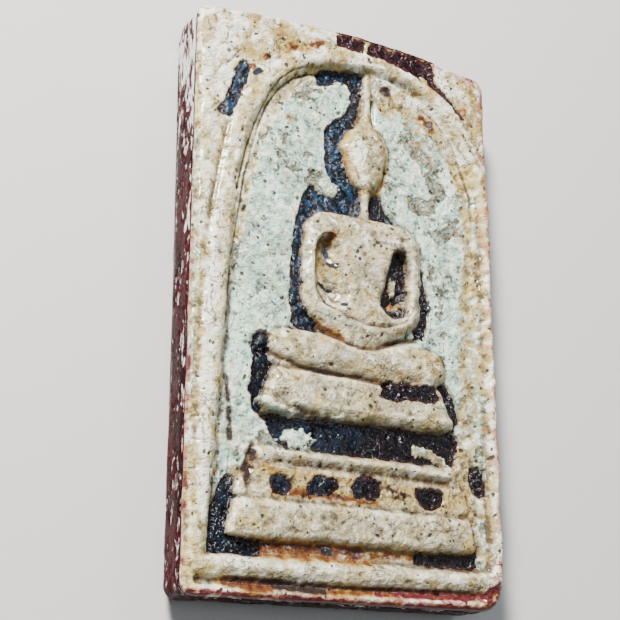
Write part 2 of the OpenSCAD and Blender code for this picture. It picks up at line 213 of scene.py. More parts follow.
def line_distance(points):
    """How far each place on the face lies from a line through a few places."""
    best = np.full(GX.shape, FAR)
    for (ax, ay), (bx, by) in zip(points[:-1], points[1:]):
        dx = bx - ax
        dy = by - ay
        t = np.clip(((GX - ax) * dx + (GY - ay) * dy) / (dx * dx + dy * dy), 0, 1)
        best = np.minimum(best, np.hypot(GX - ax - t * dx, GY - ay - t * dy))
    return best


def stroke(points, width):
    """A soft line through a few places on the face."""
    return np.exp(-FALLOFF * (line_distance(points) / width) ** 2)


# The pressed relief

LACQUER_NODES = {
    "halo_lacquer": "black_lacquer_halo",
    "neck_lacquer": "black_lacquer_neck",
    "elbow_lacquer": "black_lacquer_elbow",
    "arm_lacquer": "black_lacquer_arm",
    "throne_lacquer": "black_lacquer_throne",
    "knee_lacquer": "black_lacquer_knee",
    "seat_lacquer": "black_lacquer_seat",
    "foot_lacquer": "black_lacquer_foot",
    "sill_lacquer": "black_lacquer_sill",
    "spandrel_lacquer": "black_lacquer_spandrel",
    "leg_lacquer": "black_lacquer_leg",
    "waist_spot_1": "black_lacquer_spot_1",
    "waist_spot_2": "black_lacquer_spot_2",
    "waist_spot_3": "black_lacquer_spot_3",
    "waist_spot_4": "black_lacquer_spot_4",
    "crown_lacquer": "red_lacquer_crown",
}
WAIST_SPOTS = ("waist_spot_1", "waist_spot_2", "waist_spot_3", "waist_spot_4")

# Patches that lie on raised work, and patches of a browner lacquer
RAISED = ("seat_lacquer", "spandrel_lacquer", "crown_lacquer") + WAIST_SPOTS
BROWNER = ("throne_lacquer", "seat_lacquer", "sill_lacquer") + WAIST_SPOTS

MARGIN = 0.2
lacquer_masks = {}
for name, node in LACQUER_NODES.items():
    low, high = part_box(node)
    columns = (GX > low[0] / MM - MARGIN) & (GX < high[0] / MM + MARGIN)
    rows = (GY > low[1] / MM - MARGIN) & (GY < high[1] / MM + MARGIN)
    lacquer_masks[name] = np.isfinite(heights(node, GX, GY, columns & rows))

# How far each patch runs on over the flat beyond its flaked edge, in millimetres
SPREAD = {
    "halo_lacquer": 0.16,
    "knee_lacquer": 0.34,
    "foot_lacquer": 0.30,
    "waist_spot_1": 0.20,
    "waist_spot_2": 0.22,
    "waist_spot_3": 0.22,
    "waist_spot_4": 0.24,
    "leg_lacquer": 0.08,
    "spandrel_lacquer": 0.10,
}

# The die was pressed by hand, so its lines waver a little
waver_x = 0.13 * noise(3.4, 11, 2) + 0.04 * noise(0.8, 13, 2)
waver_y = 0.13 * noise(3.1, 12, 2) + 0.04 * noise(0.8, 14, 2)
pressed = heights("plaster_tablet", GX + waver_x, GY + waver_y)
pressed = np.where(np.isfinite(pressed), pressed, FRAME_Z)
for name in RAISED:
    fill_in(pressed, distance_in(lacquer_masks[name], 0.1) > -0.28)
pressed = np.maximum(pressed, FIELD_Z)

raised = ramp(pressed, FIELD_Z + 0.10, FIELD_Z + 0.40)
lacquer_reach = {}
for name, mask in lacquer_masks.items():
    spread = SPREAD.get(name, 0.0) * (1.0 if name in RAISED else 1 - raised)
    lacquer_reach[name] = distance_in(mask, 0.16) + spread
knee_run = 0.66 - line_distance([(-6.6, -3.7), (-6.6, -5.6), (-6.8, -7.2)])
lacquer_reach["knee_lacquer"] = np.maximum(lacquer_reach["knee_lacquer"], knee_run - 0.6 * raised)
lacquer_reach["elbow_lacquer"] -= 0.14

body_middle = cast_point(0, 1.3)
chest = ramp(-np.hypot((GX - body_middle[0]) / 4.4, (GY - body_middle[1]) / 5.0), -1.0, -0.75)
soft = blur(pressed, 0.10)
soft = soft + np.maximum(chest, spot(-8.3, -11.6, 1.2, 1.6, 70)) * (blur(pressed, 0.32) - soft)

# Lines that the marks follow, as places on the face in millimetres
ARCH_LINE = [
    (-9.4, -3.0), (-9.1, 1.5), (-8.4, 6.6), (-7.7, 9.8), (-7.1, 11.8), (-6.6, 13.3),
    (-5.7, 14.8), (-4.6, 15.9), (-3.3, 16.6), (-1.6, 17.1), (-0.5, 17.3),
]
OUTER_LINE = [
    (-8.9, 6.4), (-8.2, 9.5), (-7.6, 11.3), (-7.1, 12.9), (-6.5, 14.2), (-5.7, 15.5),
    (-4.7, 16.4), (-3.4, 17.1),
]
RIGHT_LINE = [(6.2, 16.3), (7.7, 15.5), (8.8, 14.3), (9.5, 12.9), (10.0, 11.5), (10.5, 10.0), (10.7, 8.1)]
BELLY_LINE = [(-2.5, 0.7), (-1.6, -0.6), (-0.4, -1.3), (1.2, -1.7), (2.8, -1.6), (4.5, -0.9), (5.1, 0.1)]
LAP_LINE = [
    (-2.4, -2.2), (-1.4, -2.7), (-0.3, -3.2), (0.8, -3.4), (1.9, -3.3), (3.0, -2.8),
    (4.1, -2.3), (5.6, -2.0),
]
KNEE_LINE = [(-6.2, -4.5), (-5.4, -4.8), (-3.9, -5.2), (-2.3, -5.4), (-0.8, -5.4), (1.2, -5.6), (2.9, -5.7)]
LIP_LINE = [(-7.0, -7.5), (-6.2, -8.2), (-4.7, -8.6), (-3.2, -8.85), (-1.7, -8.9), (-0.8, -8.5)]
GROOVE_LINE = [
    (-9.7, 11.0), (-10.2, 8.0), (-10.6, 5.7), (-11.0, 3.9), (-11.25, 1.8), (-11.35, -1.0),
    (-11.5, -6.0), (-11.45, -15.0),
]
BEAD_LINE = [
    (-8.9, 9.0), (-9.6, 6.8), (-10.15, 5.0), (-10.5, 3.5), (-10.65, 1.0), (-10.8, -2.4),
    (-10.75, -8.0), (-10.7, -16.0),
]
HEAD_EDGE = [(1.7, 14.3), (2.3, 13.1), (3.0, 11.6), (3.15, 10.4), (2.95, 9.2), (2.25, 8.3)]
LIP_SHADE = [(-6.5, -7.0), (-5.9, -7.6), (-5.0, -7.9), (-3.9, -8.2), (-2.6, -8.4)]
WAIST_LIP = [(-7.6, -10.5), (-6.1, -11.0), (-4.0, -11.25), (-1.0, -11.3), (3.7, -11.4), (8.2, -11.6)]
WAIST_SHADE = [(-5.6, -11.7), (-2.5, -11.85), (3.8, -12.0), (8.4, -12.2)]
CRACKS = [
    [(-11.7, -9.6), (-11.0, -9.5), (-10.1, -9.4)],
    [(-11.7, -11.0), (-10.9, -11.1), (-10.0, -10.9)],
    [(-11.8, -12.9), (-11.0, -12.8), (-10.2, -12.7)],
    [(-11.7, -3.4), (-11.0, -3.6), (-10.3, -3.3)],
    [(-11.6, 13.4), (-10.9, 14.2), (-10.3, 15.4), (-9.6, 15.8), (-8.9, 16.9)],
    [(-10.9, 14.2), (-10.0, 14.0), (-9.3, 13.2)],
    [(-10.6, 16.6), (-9.9, 17.4), (-9.8, 18.4)],
    [(8.3, 16.6), (8.9, 17.0), (9.6, 16.6)],
    [(10.1, 15.2), (10.3, 14.4), (11.0, 14.1)],
    [(5.6, -15.0), (6.4, -14.8), (7.3, -15.4), (8.2, -15.2)],
    [(-1.0, -15.6), (-0.2, -15.0), (0.5, -15.3)],
]

# The frame's banks round the sunk field are worn to a slope
LEFT_BANK = [(-9.0, 1.5), (-8.1, 7.6), (-6.9, 12.0), (-5.8, 14.4), (-4.2, 16.0), (-2.0, 16.9)]
RIGHT_BANK = [(10.8, 8.0), (10.9, 2.0), (10.6, -8.0), (10.4, -17.0)]
UPPER_BANK = [(2.4, 17.3), (5.0, 16.7), (7.2, 15.6), (8.8, 13.9), (9.8, 11.8), (10.6, 9.5)]
bank = np.clip(stroke(LEFT_BANK, 1.1), 0, 0.8)
bank += np.clip(stroke(RIGHT_BANK, 0.9), 0, 0.7)
bank += np.clip(stroke(UPPER_BANK, 1.1), 0, 0.9)
soft = soft + np.clip(bank, 0, 0.9) * np.maximum(blur(pressed, 0.62) - soft, 0)

# Strokes of the modelling tool: arms, hands, lap, the lips of the throne, and the cuts at the neck
soft -= 0.16 * stroke(BELLY_LINE, 0.17)
soft -= 0.10 * stroke([(-2.2, 4.3), (-2.5, 2.6), (-2.3, 1.0), (-1.2, -0.2)], 0.22)
soft -= 0.22 * stroke([(-1.7, 3.9), (-1.9, 2.2), (-1.5, 0.9)], 0.55)
soft -= 0.20 * stroke([(4.3, 5.0), (4.9, 3.6), (4.6, 1.4), (3.6, 0.2)], 0.45)
soft += 0.12 * spot(1.6, 4.2, 1.5, 1.3)
soft -= 0.35 * stroke([(0.95, 13.9), (1.35, 15.6)], 0.24)
soft -= 0.35 * stroke([(2.15, 13.9), (2.15, 15.6)], 0.24)
soft -= 0.10 * spot(1.3, 0.2, 1.5, 1.2)
soft -= 0.26 * stroke(LAP_LINE, 0.30)
soft -= 0.22 * stroke(KNEE_LINE, 0.24)
soft += 0.12 * stroke(LIP_LINE, 0.24)
soft -= 0.10 * stroke(LIP_SHADE, 0.15)
soft += 0.13 * stroke(WAIST_LIP, 0.25)
soft -= 0.12 * stroke(WAIST_SHADE, 0.3)
soft -= 0.42 * spot(-7.5, -12.3, 0.44, 2.4, 78)
soft += 0.2 * spot(-8.4, -11.0, 0.6, 1.4, 50)
soft += 0.14 * spot(-6.2, -7.0, 0.9, 1.2, -30)
soft += 0.10 * stroke([(-6.9, -10.2), (-7.6, -10.7), (-7.9, -11.6), (-7.5, -13.2)], 0.2)
soft -= 0.11 * stroke(ARCH_LINE, 0.11)
soft -= 0.08 * stroke(OUTER_LINE, 0.10)
soft -= 0.08 * stroke(HEAD_EDGE, 0.13)
soft -= 0.15 * stroke(GROOVE_LINE, 0.33)
soft += 0.10 * stroke(BEAD_LINE, 0.38)
soft -= 0.07 * stroke([(-3.6, 0.3), (-3.1, -0.8), (-2.2, -1.7)], 0.13)
neck_cut = stroke([(0.55, 8.3), (0.7, 7.5), (0.65, 6.9)], 0.42) + stroke([(2.15, 7.9), (1.95, 7.3)], 0.3)
soft = soft - neck_cut * np.clip(soft - FIELD_Z - 0.1, 0, 0.8)
lacquer_reach["halo_lacquer"] += 0.75 * neck_cut * (GX < 1.3)
lacquer_reach["neck_lacquer"] += 0.5 * neck_cut * (GX > 1.3)
soft -= 0.10 * stroke(RIGHT_LINE, 0.13)
cracked = sum(stroke(line, 0.06) for line in CRACKS)
soft -= 0.09 * np.clip(cracked, 0, 1)

# Where the relief stands: the sunk field, the raised work and the frame
field_share = blur((np.abs(pressed - FIELD_Z) < 0.04).astype(float), 0.12)
inside_arch = np.hypot((GX - CAST_X - CAST_LEAN * GY) / 10.4, np.maximum(GY - 2.4, 0) / 15.6) < 1
field_share = field_share * inside_arch * (1 - chest)

# Along the arch's inner edge and down the right side the field's green gives way to the frame's colour
UNDER_ARCH_RIGHT = [(4.0, 17.0), (6.3, 15.4), (8.2, 13.8), (9.4, 12.0), (10.1, 9.8), (10.5, 7.0), (10.7, 3.0)]
UNDER_ARCH_LEFT = [
    (-8.6, 3.0), (-7.9, 7.4), (-6.9, 10.6), (-6.2, 12.6), (-5.2, 14.4), (-3.8, 15.8), (-1.4, 16.6),
]
arch_band = stroke(UNDER_ARCH_RIGHT, 0.8)
arch_band += stroke(UNDER_ARCH_LEFT, 0.5)
arch_band += stroke([(10.4, 4.0), (10.0, -1.0), (9.8, -5.0), (9.7, -9.0), (9.9, -13.0), (9.9, -17.5)], 1.0)
arch_band += stroke([(9.0, -9.5), (9.1, -13.0), (9.0, -17.5)], 0.9)
arch_band += (
    1.0 * stroke([(5.3, -10.0), (6.6, -10.0), (7.6, -10.6)], 0.7)
    + 1.5 * spot(3.5, 16.0, 1.3, 1.5, -25)
)
patchy = np.clip(0.8 + 0.8 * noise(1.1, 25, 2), 0, 1)
field_share = field_share * (1 - np.clip(arch_band, 0, 1) * patchy)
pale_patches = (
    0.9 * spot(-4.7, -12.4, 0.5, 1.4, -25)
    + 1.05 * stroke(LIP_LINE, 0.33)
    + 0.6 * spot(-6.9, -6.9, 0.6)
)
pale_patches = ramp(pale_patches + 0.3 * noise(0.5, 26, 3), 0.4, 0.55)
field_share = np.maximum(field_share, pale_patches)

# Lumps left by the hand and by age, fewer on the flat of the field
roughened = np.clip(0.75 + 0.9 * noise(2.6, 20, 2), 0.25, 1.5)
roughened = roughened + 0.7 * spot(9.6, -11.5, 1.6, 4.0, 88) + 0.5 * spot(-8.2, -11.2, 1.2, 1.5)
roughened = roughened * (1 - 0.8 * spot(1.4, 11.2, 1.7, 1.5, 95))
lumps = 0.08 * noise(4.0, 21, 2) + 0.055 * roughened * noise(1.25, 22, 3, 0.55)
billow = np.abs(noise(0.85, 23, 2)) - 0.25
lumps += roughened * (0.045 * billow + 0.026 * noise(0.42, 24, 2)) * (1 - 0.45 * field_share)
base = soft + lumps

# The pale crust and its flaking

bare = (
    2.0 * stroke([(5.1, 13.6), (6.1, 12.5), (7.2, 11.2), (8.0, 9.7)], 0.7)
    + 1.8 * spot(6.2, 8.4, 0.9, 1.2)
    + 1.2 * spot(3.6, 9.3, 0.6, 1.5, 80)
    + 0.9 * spot(7.9, 6.4, 0.9, 1.5, 70)
    + 0.7 * spot(8.0, 0.5, 0.9, 2.0, 80)
    + 0.8 * spot(-5.0, 11.0, 0.9, 1.6, 70)
    + 0.9 * spot(-4.5, 9.3, 0.8)
    + 0.9 * spot(-2.7, 9.0, 1.1, 1.2, -40)
    + 1.0 * spot(-3.4, 15.7, 0.9, 2.4, 15)
    + 1.0 * stroke([(-9.0, 1.0), (-8.2, 6.4), (-7.1, 10.0), (-6.4, 12.2), (-5.4, 14.1), (-3.6, 15.7)], 0.5)
    + 0.9 * spot(-6.0, -10.3, 1.0, 1.4)
    + 1.0 * spot(9.8, -10.5, 1.2, 2.2, 85)
    + 0.9 * spot(9.3, -14.0, 1.0, 2.0, 85)
    + 0.8 * spot(-6.6, -3.6, 0.8, 1.6, 30)
    + 0.9 * spot(3.6, 15.8, 1.0, 1.6, -20)
)
right_field = ramp(GX, 2.0, 7.0)
plaques = noise(1.5, 31, 4, 0.6)
crust = 0.85 - 0.30 * right_field + 0.9 * plaques - 1.3 * bare * ramp(field_share, 0.2, 0.8)
crust += 0.45 * (1 - ramp(field_share, 0.2, 0.8))
crust = np.maximum(crust, 0.9 * pale_patches)
crust_step = ramp(crust, -0.06, 0.05)

# Flaked hollows that hold the lacquer, and the islands of crust left in them
ragged = 0.10 * noise(0.9, 51, 2) + 0.09 * noise(0.36, 52, 3, 0.7)
islands = (
    1.1 * spot(-3.8, -10.15, 0.85, 1.9, -4)
    + 1.15 * stroke([(5.3, -9.95), (6.6, -10.0), (7.5, -10.5), (8.0, -11.2)], 0.42)
    + 0.8 * spot(8.2, -6.2, 0.35, 1.4, 30)
    + 1.1 * spot(3.65, 1.6, 0.5, 2.0, 84)
    + 1.0 * stroke([(3.7, 0.1), (4.6, 0.5)], 0.34)
    + 0.9 * spot(5.2, -1.9, 0.6)
    + 1.1 * stroke([(0.9, 18.3), (1.7, 20.3)], 0.17)
    + 1.0 * spot(6.5, 18.6, 0.42)
)
islands = ramp(islands + 0.4 * noise(0.5, 53, 3, 0.65), 0.45, 0.6)
hollow_distance = np.max(list(lacquer_reach.values()), axis=0) + ragged - 1.2 * islands
hollow = ramp(hollow_distance, -0.05, 0.08)

# Round pits and chips, most of them on the frame and the figure
KNOWN_PITS = [
    (0.65, 3.85), (2.3, 4.25), (0.6, 3.0), (1.65, 3.15), (1.05, 2.6), (1.1, 1.8),
    (-0.3, 2.4), (-1.8, -0.3), (-1.3, -1.6), (-0.3, -0.8), (1.2, -2.5), (4.7, -1.65),
    (1.0, 10.1), (1.8, 10.25), (2.4, 10.25), (-10.7, 4.55), (-11.0, 4.1), (-9.7, 5.7),
    (-8.85, 6.6), (-7.3, 1.5), (-8.8, 9.9), (-7.55, 18.5), (-6.5, 17.0), (-4.55, 17.0),
]
PIT_WINDOW = 0.8


def sunk_pits(count, seed):
    """Round and longish pits, some at known places and the rest strewn over the face."""
    chance = np.random.default_rng(seed)
    total = np.zeros(GX.shape)
    places = KNOWN_PITS + [(chance.uniform(-11.7, 11.7), chance.uniform(-20.2, 20.2)) for _ in range(count)]
    for x, y in places:
        reach = chance.uniform(0.07, 0.15)
        stretch = chance.uniform(1.0, 1.9)
        turn = chance.uniform(0, math.pi)
        first_row = max(int((y + (REACH_Y - PIT_WINDOW)) / PITCH), 0)
        first_column = max(int((x + (REACH_X - PIT_WINDOW)) / PITCH), 0)
        rows = slice(first_row, int((y + (REACH_Y + PIT_WINDOW)) / PITCH))
        columns = slice(first_column, int((x + (REACH_X + PIT_WINDOW)) / PITCH))
        dx = GX[rows, columns] - x
        dy = GY[rows, columns] - y
        along = (dx * math.cos(turn) + dy * math.sin(turn)) / (reach * stretch)
        across = (dy * math.cos(turn) - dx * math.sin(turn)) / reach
        total[rows, columns] = np.maximum(total[rows, columns], np.exp(-0.9 * (along**2 + across**2) ** 1.5))
    return total


pits = sunk_pits(200, 35)

# The surfaces: the crust, a lip along each hollow, and the lacquer, which swells in places
face = base + 0.075 * crust_step * ramp(field_share, 0.0, 0.4) + 0.03 * crust_step + 0.04 * pale_patches
face += 0.012 * noise(0.26, 61, 2)
lip = ramp(hollow_distance, -0.45, -0.05) * (1 - hollow)
face += 0.04 * lip * field_share
swelling = stroke([(-6.6, -3.6), (-6.6, -6.4)], 0.3) + stroke([(-3.9, 4.8), (-4.1, 2.3), (-4.2, -0.6)], 0.22)
swelling += stroke([(-9.3, -12.8), (-9.4, -16.2)], 0.35) + stroke([(-9.0, -17.4), (-7.4, -17.4)], 0.3)
swelling += (
    stroke([(-8.5, 15.2), (-8.9, 13.4), (-9.9, 12.0)], 0.4)
    + stroke([(-0.9, 13.0), (-1.1, 10.6), (-0.4, 8.2)], 0.35)
)
puckered = 1 - 0.6 * stroke([(-6.0, -9.6), (1.0, -9.8), (8.0, -10.2)], 1.2)
lacquer_top = base - 0.10 + 0.06 * swelling + 0.022 * puckered * noise(0.34, 62, 2)
lacquer_top += 0.03 * puckered * np.abs(noise(0.8, 63, 2))
tablet_face = face - FLAKE_DEPTH * hollow - 0.10 * pits * (1 - hollow)

# Painted shade: low places and small hollows are darkened, little under the top of the arch, and raised
# places are lightened, which stands for wear and for a painted highlight
crease_shade = np.clip((blur(base, 0.32) - base) / 0.10, -1.5, 1.5)
arch_top = stroke([(-5.6, 14.6), (-3.6, 16.4), (-1.0, 17.4)], 0.8)
arch_top = 0.75 * arch_top + stroke([(1.6, 17.8), (4.2, 17.6), (6.6, 16.9), (8.4, 15.2), (9.6, 13.0)], 1.1)
crease_shade *= 1 - 0.85 * np.clip(arch_top, 0, 1) * (crease_shade > 0)
dip_shade = np.clip((blur(face, 0.16) - face) / 0.035, -1.5, 1.5)
dip_shade *= 1 - 0.6 * np.clip(arch_top, 0, 1) * (dip_shade > 0)

# Places rubbed or bleached nearly white, and painted highlights along the bead's lit side, on the head and on
# the knees
bead_highlight = [(x - 0.12, y) for x, y in BEAD_LINE]
bleached_and_highlit = (
    1.5 * stroke(bead_highlight, 0.2)
    + 1.1 * stroke(
        [(-11.3, 19.4), (-11.1, 14.0), (-10.9, 8.0), (-10.7, 1.0), (-10.8, -8.0), (-10.9, -15.0)], 0.75
    )
    + 1.0 * spot(-9.6, 14.4, 1.4, 1.5, 80)
    + 1.0 * spot(-6.9, 18.6, 1.0, 1.3, -30)
    + 0.8 * stroke([(-9.6, 11.5), (-7.9, 15.5), (-5.6, 17.3), (-2.0, 18.1), (1.5, 18.2)], 0.5)
    + 0.8 * stroke([(4.2, 17.3), (7.6, 15.9), (9.9, 12.7)], 0.4)
    + 1.0 * spot(9.4, 16.9, 1.0, 1.5, -30)
    + 1.0 * spot(-9.9, 17.6, 1.7, 1.3, 60)
    + 0.9 * spot(-7.6, 17.7, 0.8)
    + 1.2 * spot(-10.9, 18.6, 1.1, 1.6, 80)
    + 1.1 * spot(-3.6, 19.7, 0.6, 2.6, 8)
    + 1.0 * spot(-8.8, 19.2, 0.6, 1.8, 10)
    + 1.1 * stroke([(9.9, 14.9), (10.9, 14.0)], 0.55)
    + 1.0 * stroke([(8.4, 12.4), (9.3, 10.6)], 0.35)
    + 1.0 * stroke([(11.5, 7.5), (11.7, 3.0)], 0.3)
    + 0.9 * stroke([(11.4, -3.0), (11.5, -8.0), (11.4, -15.5)], 0.35)
    + 1.2 * stroke(LIP_LINE, 0.28)
    + 1.5 * stroke([(-8.5, -10.7), (-7.8, -11.0), (-7.0, -11.2)], 0.34)
    + 0.8 * stroke([(6.7, 13.2), (8.0, 11.6), (8.9, 9.7)], 0.3)
    + 0.9 * spot(9.7, 6.2, 0.5, 2.5, 88)
    # painted highlight on the head
    + 2.2 * spot(0.75, 11.1, 0.75, 1.7, 100)
    + 1.2 * spot(8.9, 18.0, 0.8, 1.8, 0)
    + 1.0 * spot(0.3, 5.3, 0.8, 1.6)
    + 0.8 * stroke([(-3.0, 4.6), (-3.4, 2.0)], 0.35)
    + 0.9 * spot(5.7, 2.6, 0.35, 1.6, 80)
    # painted highlight on the knees
    + 1.6 * spot(-5.4, -3.5, 0.6, 1.3, 20)
    + 0.8 * stroke([(-5.8, -6.6), (-4.4, -7.1), (-2.6, -7.6)], 0.35)
    + 0.7 * spot(-7.6, -14.6, 0.8, 1.3, 60)
    + 1.0 * stroke([(-9.6, -18.5), (-5.0, -18.5), (-0.5, -18.6)], 0.5)
    + 0.7 * stroke([(3.0, -18.6), (8.0, -18.6)], 0.5)
    + 0.8 * stroke([(-10.4, -19.9), (-8.6, -20.1)], 0.35)
    + 0.7 * stroke([(4.0, -20.1), (9.0, -20.1)], 0.25)
    + 0.8 * spot(4.4, -15.6, 0.6)
    + 0.8 * spot(10.9, -10.6, 0.5, 2.0, 88)
)
weather = noise(2.3, 85, 4, 0.6)
off_field = 1 - field_share
bleached_and_highlit += 0.7 * off_field * ramp(-weather, 0.1, 0.6)
bleached_and_highlit = bleached_and_highlit * np.clip(0.75 + 0.9 * noise(1.1, 64, 3, 0.6), 0, 1.3)

# Stains, grime and washes, with painted shade along the carved lines, under the lips and round the head

broken = np.clip(0.62 + 1.3 * noise(0.75, 71, 3, 0.65), 0.1, 1.4)
even = 0.95 + 0.45 * noise(0.5, 70, 3, 0.6)
stain_and_shade = even * (
    1.25 * stroke([(-7.3, -17.05), (-3.6, -17.15), (0.4, -17.1)], 0.34)
    + 0.6 * stroke([(-7.3, -17.5), (-3.6, -17.6), (0.4, -17.5)], 0.3)
    + 0.8 * stroke([(0.4, -17.35), (5.8, -17.25)], 0.36)
    + 0.45 * stroke([(-7.0, -17.85), (-3.0, -17.95), (1.0, -17.9)], 0.3)
    + 0.35 * stroke([(-8.5, -20.0), (-6.0, -20.1)], 0.25)
    + 0.75 * stroke([(-9.2, -19.75), (-7.6, -19.85), (-6.0, -19.85)], 0.34)
    + 1.1 * stroke([(-9.3, -19.5), (-6.0, -19.6)], 0.2)
    + 0.9 * stroke([(-3.0, -19.9), (-0.5, -19.85), (1.4, -19.75)], 0.28)
    + 1.0 * stroke([(-5.8, -13.75), (-1.4, -13.75), (1.9, -13.85)], 0.28)
    + 1.15 * spot(-1.6, 4.35, 0.36, 1.35, 12)
    + 1.0 * stroke([(-2.26, 3.6), (-2.26, 2.3)], 0.14)
    + 0.5 * spot(-2.0, 1.75, 0.34, 1.2)
    + 1.3 * stroke([(-2.5, -2.1), (-1.5, -2.5), (-0.7, -2.9)], 0.3)
    # painted shade under the waist's lip and along the head's edges
    + 0.12 * stroke(WAIST_SHADE, 0.35)
    + 0.4 * stroke(HEAD_EDGE, 0.34)
    + 0.35 * stroke([(0.2, 13.2), (-0.35, 11.6), (-0.2, 9.8), (0.6, 8.6)], 0.25)
    + 0.35 * spot(-7.2, -12.2, 0.45, 1.8, 78)
    + 0.4 * spot(-8.5, -12.7, 0.6, 1.4, 60)
    + 0.3 * stroke([(-6.2, -12.4), (-1.0, -12.6), (4.0, -12.8), (8.3, -13.2)], 0.4)
    + 0.5 * stroke([(-4.6, -13.5), (-3.6, -13.4), (-1.2, -13.4)], 0.25)
)
stain_and_shade += broken * (
    0.75 * spot(-6.3, 19.2, 0.6, 1.3)
    + 1.1 * stroke([(-5.3, 18.0), (-3.6, 18.6), (-2.0, 19.2)], 0.42)
    + 0.75 * stroke([(11.35, 11.6), (11.75, 8.0), (11.9, 3.0)], 0.2)
    + 0.6 * stroke([(11.8, 1.5), (11.9, -4.0)], 0.18)
    + 0.5 * stroke([(9.35, -12.5), (9.5, -15.5)], 0.3)
    + 0.9 * stroke([(-8.1, 15.7), (-7.3, 16.4), (-6.6, 17.2)], 0.32)
    + 1.1 * spot(3.3, 16.9, 0.6, 1.1)
    + 1.6 * stroke([(6.5, 15.5), (7.2, 15.15), (7.6, 14.4)], 0.34)
    + 0.45 * spot(6.4, 14.0, 1.4, 1.4, -50)
    + 0.9 * spot(4.0, 0.3, 0.5, 1.2)
    + 0.9 * spot(1.2, -18.3, 0.3, 1.5, 80)
    + 0.6 * spot(10.1, 16.6, 0.9, 1.3)
    + 0.6 * spot(-4.8, 12.9, 0.6)
    + 0.5 * spot(6.9, -3.6, 0.9, 1.3, 80)
)
stain_and_shade += 0.20 * ramp(noise(1.3, 72, 3), 0.15, 0.9)

# Dirt and dark lumps, and painted shade under the seat's and the waist's lips, along the carved lines and
# round the head
grime_and_shade = even * (
    2.6 * spot(3.38, 16.9, 0.42, 1.2, -20)
    + 0.5 * stroke(HEAD_EDGE, 0.14)
    + 0.8 * stroke([(0.4, 10.0), (0.75, 9.2)], 0.13)
    + 0.9 * stroke([(1.5, 9.0), (2.1, 8.75)], 0.16)
    + 0.9 * stroke([(0.2, 8.5), (0.9, 8.0)], 0.22)
    + 0.55 * stroke(LIP_SHADE, 0.3)
    + 0.45 * stroke(WAIST_SHADE, 0.3)
    + 0.4 * stroke([(-7.3, -16.9), (-1.5, -17.0), (6.4, -16.9)], 0.25)
    + 1.1 * spot(-1.6, -17.3, 0.4, 1.6)
    + 1.9 * stroke([(-5.6, -19.65), (-3.9, -19.8), (-2.3, -19.85)], 0.36)
    + 1.2 * stroke([(-9.2, -19.4), (-5.4, -19.45)], 0.2)
    + 1.1 * stroke([(-2.7, -19.6), (9.0, -19.35)], 0.16)
    + 1.0 * stroke(LAP_LINE, 0.2)
    + 0.8 * stroke(KNEE_LINE, 0.18)
    + 0.75 * stroke(ARCH_LINE, 0.09)
    + 0.4 * stroke(ARCH_LINE[-5:], 0.14)
    + 0.75 * stroke(OUTER_LINE, 0.09)
    + 0.8 * stroke(RIGHT_LINE, 0.1)
    + 0.7 * stroke(BELLY_LINE, 0.09)
    + 0.8 * np.clip(cracked, 0, 1)
)
grime_and_shade += np.clip(0.85 + 0.9 * noise(0.6, 76, 3), 0.2, 1.4) * (
    1.7 * stroke([(-9.2, -6.6), (-8.95, -8.6), (-8.85, -10.6)], 0.24)
    + 2.1 * spot(-7.5, -12.35, 0.46, 2.7, 78)
    + 0.9 * stroke([(-4.9, 18.2), (-3.4, 18.8), (-2.1, 19.2)], 0.13)
    + 1.3 * spot(-7.55, 15.55, 0.36, 1.4, 20)
    + 1.0 * spot(-1.7, 1.0, 0.35, 1.6, 60) * ramp(noise(0.4, 78, 2), -0.2, 0.3)
    + 1.3 * spot(3.4, -12.95, 0.7, 2.1, -12) * ramp(ripple(2 * GX, GY, 0.5, 73, 2), 0.0, 0.3)
    + 1.2 * stroke([(2.4, -12.7), (3.4, -13.0), (4.6, -13.2)], 0.14)
    + 1.0 * stroke([(2.9, -13.4), (4.3, -13.5)], 0.12)
    + 1.0 * spot(9.3, -12.6, 0.9, 1.6, 85) * ramp(ripple(2 * GX, GY, 0.4, 98, 2), 0.05, 0.3)
    + 0.8 * spot(9.7, -16.4, 0.5, 2.2, 88) * ramp(noise(0.35, 99, 2), 0.0, 0.3)
    + 1.0 * spot(9.9, -14.3, 0.7, 2.6, 88) * ramp(noise(0.4, 74, 2), 0.0, 0.3)
    + 0.9 * spot(-7.9, -11.2, 1.0, 1.5) * ramp(noise(0.4, 75, 2), 0.0, 0.3)
    + 0.9 * spot(-6.4, -3.4, 0.8, 1.5, 40) * ramp(noise(0.4, 79, 2), 0.0, 0.3)
)
